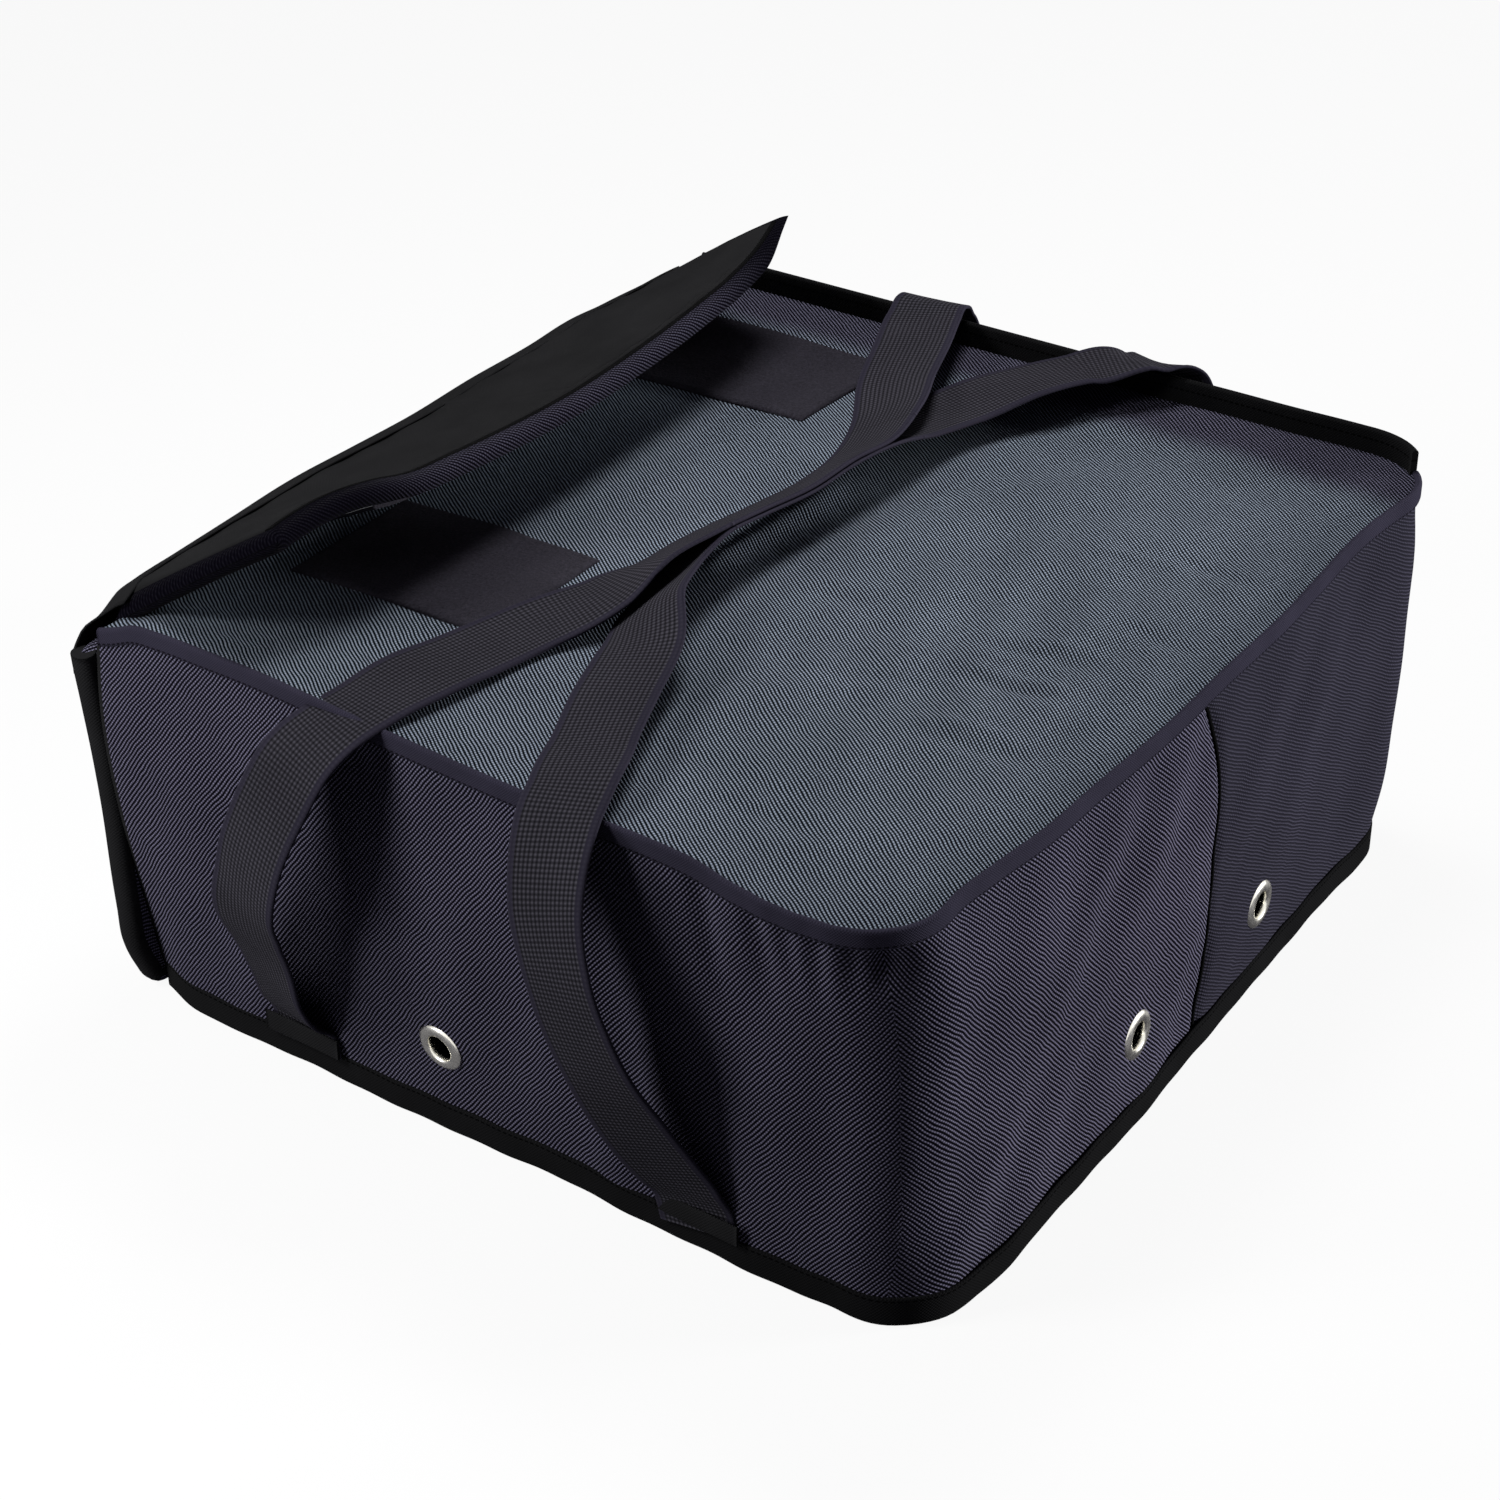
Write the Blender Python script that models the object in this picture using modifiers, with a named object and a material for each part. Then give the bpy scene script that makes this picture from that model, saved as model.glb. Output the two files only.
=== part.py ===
"""Insulated pizza delivery bag.

A soft box that opens at its left end. Each wall is outer cloth, padding and a foil lining.
A padded cover folds up over the mouth, and a padded flap folds from the cover onto the top.
Two webbing straps run from the front seam over the top to the back seam, sewn face to face
in the middle as a grip. The origin is under the middle of the base, in metres, +Z up: the
mouth is at -X, the closed end at +X and the front at -Y.
"""

import math

import bmesh
import bpy
from mathutils import Vector

# Overall size of the closed bag: mouth to closed end, front to back, base to top
bag_length = 0.430
bag_width = 0.456
bag_height = 0.200
corner_radius = 0.030

# Layers of a padded wall, and the gap between pieces that lie on each other
outer_cloth = 0.0012
padding = 0.0060
lining_cloth = 0.0008
seat = 0.0003

# Tapes and bands over the edges
tape = 0.0012
mouth_tape_width = 0.008
base_tape_height = 0.015
base_tape_lift = 0.0006
band_height = 0.010
band_thickness = 0.0020
band_rise = 0.0010
back_tape_rise = 0.012
back_tape_thickness = 0.0030

# The two side strips meet in a seam on the closed end
seam_y = 0.025

# Mouth cover and flap
cover_tape_width = 0.012
flap_tape_width = 0.010
flap_length = 0.108
flap_root_half = 0.206
flap_tip_half = 0.194
flap_rest_angle = math.radians(28)
fold_radius = 0.0015
badge_length = 0.160
badge_depth = 0.070
badge_cloth = 0.0008
badge_root_gap = 0.016
badge_y = 0.055

# Hook and loop fastener
loop_pile = 0.0020
hook_pile = 0.0020
loop_width = 0.082
loop_length = 0.114
loop_mouth_gap = 0.032
hook_width = 0.070
hook_length = 0.060
hook_root_gap = 0.030
front_fastener_inset = 0.098
rear_fastener_inset = 0.047

# Eyelets that let steam out
eyelet_radius = 0.013
eyelet_bore = 0.00635
barrel_wall = 0.0010
flange = 0.0014
washer = 0.0008
lip = 0.0008
lip_reach = 0.0016
side_eyelet_x = -0.025
side_eyelet_height = 0.047
end_eyelet_spacing = 0.120
end_eyelet_y = 0.0115
end_eyelet_height = 0.048

# Webbing straps
webbing_width = 0.040
webbing = 0.0018
webbing_gap = 0.0006
strap_slack = 0.041
left_foot_x = -0.106
right_foot_x = 0.115
left_edge_x = -0.060
right_edge_x = 0.050
left_back_x = -0.052
right_back_x = 0.061
front_crest_rise = 0.0080
back_crest_rise = 0.0270
crest_inset = 0.008
tab_height = 0.010
grip_x = -0.0055
grip_front_y = -0.045
grip_back_y = 0.100
grip_rise = 0.0205
grip_tilt = math.radians(32)

# Shares of the strap's height, of its slack and of its sideways drift, from foot to crest
strap_wall_shares = (
    (0.00, 0.00, 0.00),
    (0.06, 0.00, 0.00),
    (0.10, 0.07, 0.03),
    (0.21, 0.30, 0.09),
    (0.34, 0.57, 0.21),
    (0.48, 0.85, 0.35),
    (0.60, 1.00, 0.48),
    (0.71, 0.98, 0.62),
    (0.84, 0.78, 0.77),
    (0.93, 0.45, 0.89),
    (0.975, 0.14, 1.00),
)

# Shares of the way from a crest to the grip: along, sideways, rise over the top and tilt
front_run_shares = (
    (0.26, 0.22, 0.77, 0.08),
    (0.51, 0.44, 0.81, 0.20),
    (0.755, 0.80, 1.00, 0.95),
    (0.90, 0.93, 1.06, 1.00),
)
back_run_shares = (
    (0.22, 0.27, 0.80, 0.16),
    (0.49, 0.53, 0.73, 0.19),
    (0.77, 0.80, 0.79, 0.35),
    (0.91, 0.95, 0.92, 0.80),
)

# Fineness of the facets, and how far a cutter runs past what it cuts
corner_steps = 8
ring_steps = 24
fold_sides = 12
strap_steps = 40
grip_steps = 2
webbing_steps = 2
overrun = 0.004

# Sizes that follow from the ones above
half_width = bag_width / 2
closed_end = bag_length / 2
wall = outer_cloth + seat + padding + seat + lining_cloth
rim = tape + seat + wall + seat + tape
cover_inner_x = rim - closed_end
mouth_x = cover_inner_x + seat
wall_start_x = mouth_x + tape + seat
fold_height = bag_height + seat + loop_pile + seat + hook_pile - tape
foam_inset = outer_cloth + seat
lining_inset = foam_inset + padding + seat
board_inset = lining_inset
barrel_radius = eyelet_bore + barrel_wall
eyelet_hole = barrel_radius + seat
foot_z = base_tape_height + seat
strap_y = half_width + seat + webbing / 2


def clear_scene():
    """Remove whatever the opened scene holds."""
    for item in list(bpy.data.objects):
        bpy.data.objects.remove(item, do_unlink=True)


def make_collection(name):
    """Add a collection to the scene."""
    collection = bpy.data.collections.new(name)
    bpy.context.scene.collection.children.link(collection)
    return collection


def make_material(name, color, roughness, metallic=0.0):
    """A plain Principled material."""
    material = bpy.data.materials.new(name)
    material.use_nodes = True
    shader = material.node_tree.nodes["Principled BSDF"]
    shader.inputs["Base Color"].default_value = (*color, 1.0)
    shader.inputs["Roughness"].default_value = roughness
    shader.inputs["Metallic"].default_value = metallic
    return material


clear_scene()
bag = make_collection("pizza_delivery_bag")
cutters = make_collection("cutters")

top_cloth = make_material("top_cloth", (0.060, 0.075, 0.095), 0.75)
side_cloth = make_material("side_cloth", (0.022, 0.022, 0.042), 0.75)
edge_cloth = make_material("edge_cloth", (0.030, 0.030, 0.045), 0.60)
black_tape = make_material("black_tape", (0.012, 0.012, 0.013), 0.70)
black_cloth = make_material("black_cloth", (0.010, 0.010, 0.011), 0.65)
strap_webbing = make_material("strap_webbing", (0.024, 0.023, 0.024), 0.60)
loop_cloth = make_material("loop_cloth", (0.010, 0.010, 0.012), 0.95)
hook_cloth = make_material("hook_cloth", (0.010, 0.010, 0.012), 0.55)
foam = make_material("foam", (0.75, 0.75, 0.72), 0.90)
foil = make_material("foil", (0.70, 0.71, 0.72), 0.30, 0.9)
nickel = make_material("nickel", (0.62, 0.60, 0.55), 0.28, 1.0)


def add_object(name, data, material, collection=bag):
    """Put mesh or curve data into the scene as a named object with its material."""
    thing = bpy.data.objects.new(name, data)
    if material:
        data.materials.append(material)
    collection.objects.link(thing)
    return thing


def curve_data(name, points, half_depth, closed):
    """A flat poly curve through the points, drawn out along its own Z."""
    curve = bpy.data.curves.new(name, "CURVE")
    curve.dimensions = "2D"
    curve.fill_mode = "BOTH" if closed else "NONE"
    curve.extrude = half_depth
    spline = curve.splines.new("POLY")
    spline.points.add(len(points) - 1)
    for point, place in zip(spline.points, points):
        point.co = (place[0], place[1], 0, 1)
    spline.use_cyclic_u = closed
    return curve


def as_mesh(name, curve, material):
    """Turn curve data into a mesh object with welded caps."""
    source = bpy.data.objects.new(name + "_curve", curve)
    bag.objects.link(source)
    bpy.context.view_layer.update()
    evaluated = source.evaluated_get(bpy.context.evaluated_depsgraph_get())
    mesh = bpy.data.meshes.new_from_object(evaluated)
    bpy.data.objects.remove(source, do_unlink=True)
    mesh.materials.clear()
    mesh.name = name
    work = bmesh.new()
    work.from_mesh(mesh)
    bmesh.ops.remove_doubles(work, verts=work.verts, dist=seat / 10)
    work.to_mesh(mesh)
    work.free()
    return add_object(name, mesh, material)


def board(name, outline, low, thickness, material, parent=None):
    """A flat board: a closed outline with its underside at the height low."""
    piece = add_object(name, curve_data(name, outline, thickness / 2, True), material)
    piece.location.z = low + thickness / 2
    piece.parent = parent
    return piece


def box(name, low, high, material, collection=bag, parent=None):
    """A box between two corners, made from a cube with its scale applied."""
    mesh = bpy.data.meshes.new(name)
    work = bmesh.new()
    bmesh.ops.create_cube(work, size=1)
    size = [b - a for a, b in zip(low, high)]
    bmesh.ops.scale(work, vec=size, verts=work.verts)
    work.to_mesh(mesh)
    work.free()
    piece = add_object(name, mesh, material, collection)
    piece.location = [(a + b) / 2 for a, b in zip(low, high)]
    piece.parent = parent
    return piece


def as_cutter(piece):
    """Show an object as a wire guide that is left out of the model."""
    for collection in list(piece.users_collection):
        collection.objects.unlink(piece)
    cutters.objects.link(piece)
    piece.display_type = "WIRE"
    piece.hide_render = True
    return piece


def cut(piece, cutter, operation="DIFFERENCE"):
    """Cut a mesh piece by a guide, or join the guide to it."""
    boolean = piece.modifiers.new("cut_" + cutter.name, "BOOLEAN")
    boolean.operation = operation
    boolean.solver = "EXACT"
    boolean.object = cutter


def front_path(inset, start_x, end_y):
    """Plan line from the mouth along the front and round the corner up to end_y."""
    radius = corner_radius - inset
    centre_x = closed_end - corner_radius
    centre_y = corner_radius - half_width
    points = [(start_x, inset - half_width)]
    for step in range(corner_steps + 1):
        angle = math.pi / 2 * (step / corner_steps - 1)
        points.append((centre_x + radius * math.cos(angle), centre_y + radius * math.sin(angle)))
    points.append((closed_end - inset, end_y))
    return points


def rear_path(inset, start_x, end_y):
    """The mirror image of front_path, from the mouth along the back to end_y."""
    return [(x, -y) for x, y in front_path(inset, start_x, -end_y)]


def round_path(inset, start_x):
    """Plan line from the mouth along front, closed end and back to the mouth again."""
    return front_path(inset, start_x, 0)[:-1] + rear_path(inset, start_x, 0)[-2::-1]


def wall_strip(name, path, low, high, thickness, material, holes=()):
    """A cloth or padding wall that stands on a plan line, with its eyelet holes."""
    piece = as_mesh(name, curve_data(name, path, (high - low) / 2, False), material)
    piece.location.z = (low + high) / 2
    shell = piece.modifiers.new("thickness", "SOLIDIFY")
    shell.thickness = thickness
    shell.offset = 0
    shell.use_even_offset = True
    for hole in holes:
        cut(piece, hole)
    return piece


def eyelet_places():
    """Name, place on the outer face and outward direction of each eyelet."""
    near = end_eyelet_y - end_eyelet_spacing / 2
    far = end_eyelet_y + end_eyelet_spacing / 2
    return (
        ("front_eyelet", Vector((side_eyelet_x, -half_width, side_eyelet_height)), Vector((0, -1, 0))),
        ("rear_eyelet", Vector((side_eyelet_x, half_width, side_eyelet_height)), Vector((0, 1, 0))),
        ("end_front_eyelet", Vector((closed_end, near, end_eyelet_height)), Vector((1, 0, 0))),
        ("end_rear_eyelet", Vector((closed_end, far, end_eyelet_height)), Vector((1, 0, 0))),
    )


def facing(direction):
    """Rotation that turns +Z to a direction."""
    return direction.to_track_quat("Z", "Y").to_euler()


def eyelet_hole_guide(name, place, direction):
    """A cylinder through the whole wall for one eyelet."""
    mesh = bpy.data.meshes.new(name)
    work = bmesh.new()
    depth = wall + overrun * 2
    bmesh.ops.create_cone(work, cap_ends=True, segments=ring_steps, radius1=eyelet_hole,
                          radius2=eyelet_hole, depth=depth)
    work.to_mesh(mesh)
    work.free()
    guide = as_cutter(add_object(name, mesh, None))
    guide.location = place - direction * wall / 2
    guide.rotation_euler = facing(direction)
    return guide


def turned(name, profile, place, direction, material):
    """A ring turned from a closed profile of radii and heights."""
    mesh = bpy.data.meshes.new(name)
    work = bmesh.new()
    corners = [work.verts.new((radius, 0, height)) for radius, height in profile]
    for first, second in zip(corners, corners[1:] + corners[:1]):
        work.edges.new((first, second))
    work.to_mesh(mesh)
    work.free()
    ring = add_object(name, mesh, material)
    screw = ring.modifiers.new("turn", "SCREW")
    screw.steps = ring_steps
    screw.render_steps = ring_steps
    screw.use_merge_vertices = True
    screw.merge_threshold = seat / 10
    ring.location = place
    ring.rotation_euler = facing(direction)
    return ring


def eyelet(name, place, direction):
    """A flanged barrel through the wall, rolled over a washer on the inside."""
    back = -seat - wall - seat - washer - seat
    shoulder = eyelet_radius - lip_reach
    profile = (
        (eyelet_bore, flange / 2),
        (barrel_radius, flange),
        (shoulder, flange),
        (eyelet_radius, flange / 2),
        (eyelet_radius, 0),
        (barrel_radius, 0),
        (barrel_radius, back),
        (barrel_radius + lip_reach, back),
        (barrel_radius + lip_reach, back - lip),
        (eyelet_bore, back - lip),
    )
    turned(name, profile, place + direction * seat, direction, nickel)
    washer_low = -seat - wall - seat - washer
    washer_profile = (
        (barrel_radius + seat, washer_low + washer),
        (eyelet_radius, washer_low + washer),
        (eyelet_radius, washer_low),
        (barrel_radius + seat, washer_low),
    )
    turned(name + "_washer", washer_profile, place + direction * seat, direction, nickel)


def make_walls():
    """Base, top and the two side strips, each as outer cloth, padding and lining."""
    guides = {}
    for name, place, direction in eyelet_places():
        guides[name] = eyelet_hole_guide(name + "_hole", place, direction)
        eyelet(name, place, direction)
    front_holes = (guides["front_eyelet"], guides["end_front_eyelet"])
    rear_holes = (guides["rear_eyelet"], guides["end_rear_eyelet"])

    outer_outline = round_path(0, wall_start_x)
    inner_outline = round_path(board_inset, wall_start_x)
    foam_low = outer_cloth + seat
    lining_low = foam_low + padding + seat
    board("base_panel", outer_outline, 0, outer_cloth, black_cloth)
    board("base_padding", inner_outline, foam_low, padding, foam)
    board("base_lining", inner_outline, lining_low, lining_cloth, foil)
    board("top_panel", outer_outline, bag_height - outer_cloth, outer_cloth, top_cloth)
    board("top_padding", inner_outline, bag_height - foam_low - padding, padding, foam)
    board("top_lining", inner_outline, bag_height - lining_low - lining_cloth, lining_cloth, foil)

    cloth_low = outer_cloth + seat
    lining_start = lining_low + lining_cloth + seat
    layers = (
        ("panel", outer_cloth / 2, cloth_low, outer_cloth, side_cloth),
        ("padding", foam_inset + padding / 2, cloth_low, padding, foam),
        ("lining", lining_inset + lining_cloth / 2, lining_start, lining_cloth, foil),
    )
    for layer, inset, low, thickness, material in layers:
        high = bag_height - low
        front = front_path(inset, wall_start_x, seam_y - seat / 2)
        rear = rear_path(inset, wall_start_x, seam_y + seat / 2)
        wall_strip("front_side_" + layer, front, low, high, thickness, material, front_holes)
        wall_strip("rear_side_" + layer, rear, low, high, thickness, material, rear_holes)


def make_edge_tapes():
    """Tapes and bands along the base, the top edges and the mouth."""
    outside = -seat - tape / 2
    wall_strip("base_tape", round_path(outside, mouth_x), base_tape_lift, base_tape_height, tape,
               black_tape)
    band_start = mouth_x + mouth_tape_width + seat
    band_line = front_path(-seat - band_thickness / 2, band_start, half_width - corner_radius)
    wall_strip("top_edge_band", band_line, bag_height - band_height + band_rise,
               bag_height + band_rise, band_thickness, edge_cloth)
    back_line = rear_path(back_tape_thickness / 2, band_start, half_width - corner_radius)
    wall_strip("back_edge_tape", back_line, bag_height + seat, bag_height + back_tape_rise,
               back_tape_thickness, black_tape)
    make_mouth_tape()


def make_mouth_tape():
    """One tape folded over the mouth's edges: up the front, across the top, down the rear."""
    low = base_tape_height + seat
    end = mouth_x + mouth_tape_width
    outer = seat + tape
    inner = wall + seat
    folded = box("mouth_tape", (mouth_x, -half_width - outer, low),
                 (end, half_width + outer, bag_height + outer), black_tape)
    pocket = box("mouth_tape_pocket", (mouth_x + tape, -half_width - seat, low - overrun),
                 (end + overrun, half_width + seat, bag_height + seat), None)
    inside = box("mouth_tape_inner_leg", (mouth_x, inner - half_width, low),
                 (end, half_width - inner, bag_height - inner), None)
    opening = box("mouth_tape_opening",
                  (mouth_x - overrun, inner + tape - half_width, low - overrun),
                  (end + overrun, half_width - inner - tape, bag_height - inner - tape), None)
    cut(folded, as_cutter(pocket))
    cut(folded, as_cutter(inside), "UNION")
    cut(folded, as_cutter(opening))


def leaf_half(leaf, along):
    """Half the breadth of the cover or the flap at a distance from its fold line."""
    root, tip, root_half, tip_half = leaf
    return root_half + (tip_half - root_half) * (along - root) / (tip - root)


def leaf_outline(leaf, side_trim, root_trim, tip_trim):
    """Outline of the cover or the flap in its own plane, trimmed at its bound edges."""
    low = leaf[0] + root_trim
    high = leaf[1] - tip_trim
    low_half = leaf_half(leaf, low) - side_trim
    high_half = leaf_half(leaf, high) - side_trim
    return [(low, -low_half), (high, -high_half), (high, high_half), (low, low_half)]


def make_leaf(name, leaf, pivot, inner, bound_root, tape_width):
    """Outer cloth, padding, lining and folded edge tape of a padded leaf on its pivot."""
    def outline(trim):
        if bound_root:
            return leaf_outline(leaf, trim, trim, 0)
        return leaf_outline(leaf, trim, 0, trim)

    def guide_outline(trim):
        if bound_root:
            return leaf_outline(leaf, trim, trim, -overrun)
        return leaf_outline(leaf, trim, -overrun, trim)

    lining_low = inner + tape + seat
    padding_low = lining_low + lining_cloth + seat
    cloth_low = padding_low + padding + seat
    board(name + "_lining", outline(tape + seat), lining_low, lining_cloth, foil, pivot)
    board(name + "_padding", outline(tape + seat), padding_low, padding, foam, pivot)
    board(name + "_panel", outline(tape + seat), cloth_low, outer_cloth, side_cloth, pivot)
    folded = leaf_block(name + "_tape", outline(0), inner, rim, black_tape, pivot)
    pocket = leaf_block(name + "_tape_pocket", guide_outline(tape), inner + tape,
                        rim - tape * 2, None, pivot)
    window = leaf_block(name + "_tape_window", guide_outline(tape_width), inner - overrun,
                        rim + overrun * 2, None, pivot)
    cut(folded, as_cutter(pocket))
    cut(folded, as_cutter(window))


def leaf_block(name, outline, low, thickness, material, pivot):
    """A flat block of a leaf as a mesh, so that it can be cut or cut others."""
    piece = as_mesh(name, curve_data(name, outline, thickness / 2, True), material)
    piece.location.z = low + thickness / 2
    piece.parent = pivot
    return piece


def make_pivot(name, place, angle):
    """An empty on a fold line, turned about Y so that its X runs along the leaf."""
    pivot = bpy.data.objects.new(name, None)
    bag.objects.link(pivot)
    pivot.location = place
    pivot.rotation_euler = (0, -angle, 0)
    return pivot


def make_cover_and_flap():
    """The cover stands on the base edge, and the flap leans over the top from its fold."""
    cover_pivot = make_pivot("cover_pivot", (-closed_end, 0, 0), math.pi / 2)
    cover_leaf = (0, fold_height - fold_radius - seat, half_width, half_width)
    make_leaf("cover", cover_leaf, cover_pivot, -rim, True, cover_tape_width)
    make_fold()
    flap_pivot = make_pivot("flap_pivot", (cover_inner_x, 0, fold_height), flap_rest_angle)
    flap_leaf = (fold_radius + seat, flap_length, flap_root_half, flap_tip_half)
    make_leaf("flap", flap_leaf, flap_pivot, 0, False, flap_tape_width)
    badge_low = tape + seat + wall + seat
    box("flap_badge", (badge_root_gap, badge_y - badge_length / 2, badge_low),
        (badge_root_gap + badge_depth, badge_y + badge_length / 2, badge_low + badge_cloth),
        black_cloth, parent=flap_pivot)
    make_fasteners(flap_pivot, flap_leaf)


def make_fold():
    """The unpadded, stitched fold between cover and flap, as a roll on the fold line."""
    mesh = bpy.data.meshes.new("flap_fold")
    work = bmesh.new()
    bmesh.ops.create_cone(work, cap_ends=True, segments=fold_sides, radius1=fold_radius,
                          radius2=fold_radius, depth=flap_root_half * 2)
    work.to_mesh(mesh)
    work.free()
    mesh.shade_smooth()
    fold = add_object("flap_fold", mesh, black_tape)
    fold.location = (cover_inner_x, 0, fold_height)
    fold.rotation_euler = facing(Vector((0, 1, 0)))


def make_fasteners(flap_pivot, flap_leaf):
    """Two loop patches on the top, and two narrower hook patches under the flap."""
    loop_start = mouth_x + loop_mouth_gap
    loop_low = bag_height + seat
    hook_low = tape - hook_pile
    hook_end = hook_root_gap + hook_length
    reach = leaf_half(flap_leaf, hook_end)
    for side, middle in (("front", front_fastener_inset - reach),
                         ("rear", reach - rear_fastener_inset)):
        box("loop_patch_" + side, (loop_start, middle - loop_width / 2, loop_low),
            (loop_start + loop_length, middle + loop_width / 2, loop_low + loop_pile), loop_cloth)
        box("hook_patch_" + side, (hook_root_gap, middle - hook_width / 2, hook_low),
            (hook_end, middle + hook_width / 2, tape), hook_cloth, parent=flap_pivot)


def wall_keys(foot_x, edge_x, crest_z, side):
    """Key points of a strap from its foot up the wall, bulging out by its slack."""
    keys = []
    for height_share, slack_share, drift_share in strap_wall_shares:
        x = foot_x + (edge_x - foot_x) * drift_share
        y = side * (strap_y + strap_slack * slack_share)
        z = base_tape_height + (crest_z - base_tape_height) * height_share
        keys.append(Vector((x, y, z, 0)))
    return keys


def run_keys(side, crest_x, crest_rise, grip, shares):
    """Key points of a strap over the top, from the crest on one side to the grip's end."""
    crest_y = side * (half_width - crest_inset)
    grip_y = grip_front_y if side < 0 else grip_back_y
    keys = [Vector((crest_x, crest_y, bag_height + crest_rise, 0))]
    for along, sideways, rise_share, tilt_share in shares:
        x = crest_x + (grip.x - crest_x) * sideways
        y = crest_y + (grip_y - crest_y) * along
        rise = crest_rise + (grip_rise - crest_rise) * along
        keys.append(Vector((x, y, bag_height + rise * rise_share, grip_tilt * tilt_share)))
    keys.append(Vector((grip.x, grip_y, grip.z, grip_tilt)))
    return keys


def strap_keys(foot_x, front_x, back_x, lift):
    """All key points of one strap with its tilt, and the place of the grip among them."""
    across = Vector((-math.sin(grip_tilt), 0, math.cos(grip_tilt))) * lift
    grip = Vector((grip_x, 0, bag_height + grip_rise)) + across
    front = wall_keys(foot_x, front_x, bag_height + front_crest_rise, -1)
    front += run_keys(-1, front_x, front_crest_rise, grip, front_run_shares)
    back = wall_keys(foot_x, back_x, bag_height + back_crest_rise, 1)
    back += run_keys(1, back_x, back_crest_rise, grip, back_run_shares)
    return front + back[::-1], len(front) - 1


def smooth_path(keys):
    """A function of the way along that runs smoothly through the keys and never overshoots."""
    places = [0.0]
    for first, second in zip(keys, keys[1:]):
        places.append(places[-1] + (second.xyz - first.xyz).length)
    slopes = []
    for index in range(len(keys) - 1):
        slopes.append((keys[index + 1] - keys[index]) / (places[index + 1] - places[index]))
    tangents = [slopes[0]]
    for before, after in zip(slopes, slopes[1:]):
        tangents.append(Vector([harmonic(a, b) for a, b in zip(before, after)]))
    tangents.append(slopes[-1])

    def at(place):
        index = 0
        while index < len(keys) - 2 and place > places[index + 1]:
            index += 1
        span = places[index + 1] - places[index]
        t = (place - places[index]) / span
        return (keys[index] * (1 + 2 * t) * (1 - t) ** 2
                + tangents[index] * span * t * (1 - t) ** 2
                + keys[index + 1] * t ** 2 * (3 - 2 * t)
                + tangents[index + 1] * span * t ** 2 * (t - 1))

    return at, places


def harmonic(a, b):
    """The harmonic mean of two slopes of one sign, and zero where the sign changes."""
    if a * b <= 0:
        return 0.0
    return 2 * a * b / (a + b)


def ribbon(name, at, start, end, trim, steps):
    """Webbing between two places of a path: a grid laid across the path, with thickness."""
    mesh = bpy.data.meshes.new(name)
    work = bmesh.new()
    bmesh.ops.create_grid(work, x_segments=steps, y_segments=webbing_steps, size=0.5)
    for vertex in work.verts:
        place = start + (end - start) * (vertex.co.x + 0.5)
        here = at(min(max(place, start + trim), end - trim))
        ahead = (at(place + seat / 2) - at(place - seat / 2)).xyz.normalized()
        width = Vector((math.cos(here.w), 0, math.sin(here.w)))
        width = (width - ahead * width.dot(ahead)).normalized()
        vertex.co = here.xyz + width * webbing_width * vertex.co.y
    work.to_mesh(mesh)
    work.free()
    strap = add_object(name, mesh, strap_webbing)
    shell = strap.modifiers.new("thickness", "SOLIDIFY")
    shell.thickness = webbing
    shell.offset = 0
    shell.use_even_offset = True
    return strap


def make_straps():
    """Two straps, each with a front run, its half of the grip and a back run."""
    half_gap = (webbing + seat) / 2
    sides = (
        ("left_strap", left_foot_x, left_edge_x, left_back_x, half_gap),
        ("right_strap", right_foot_x, right_edge_x, right_back_x, -half_gap),
    )
    for name, foot_x, front_x, back_x, lift in sides:
        keys, grip_start = strap_keys(foot_x, front_x, back_x, lift)
        at, places = smooth_path(keys)
        start = places[grip_start]
        end = places[grip_start + 1]
        ribbon(name + "_front", at, 0, start, webbing_gap, strap_steps)
        ribbon(name + "_grip", at, start, end, 0, grip_steps)
        ribbon(name + "_back", at, end, places[-1], webbing_gap, strap_steps)
        make_tab(name + "_front_tab", foot_x, -1)
        make_tab(name + "_back_tab", foot_x, 1)


def make_tab(name, foot_x, side):
    """A short tape sewn over the foot of a strap, just above the base tape."""
    inner = side * (half_width + seat + webbing + seat)
    outer = inner + side * tape
    box(name, (foot_x - webbing_width / 2, min(inner, outer), foot_z),
        (foot_x + webbing_width / 2, max(inner, outer), foot_z + tab_height), black_tape)


make_walls()
make_edge_tapes()
make_cover_and_flap()
make_straps()
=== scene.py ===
"""Padded pizza delivery bag: cloth, tape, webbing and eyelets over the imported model.

Every surface is a function of two parameters, worked out with numpy on a grid, in metres in the
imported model's frame. The mouth is at -X, the closed end at +X, the front at -Y.
"""

import math

import bpy
import numpy as np
from bpy.props import FloatProperty, FloatVectorProperty, PointerProperty
from mathutils import Matrix, Vector


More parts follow.
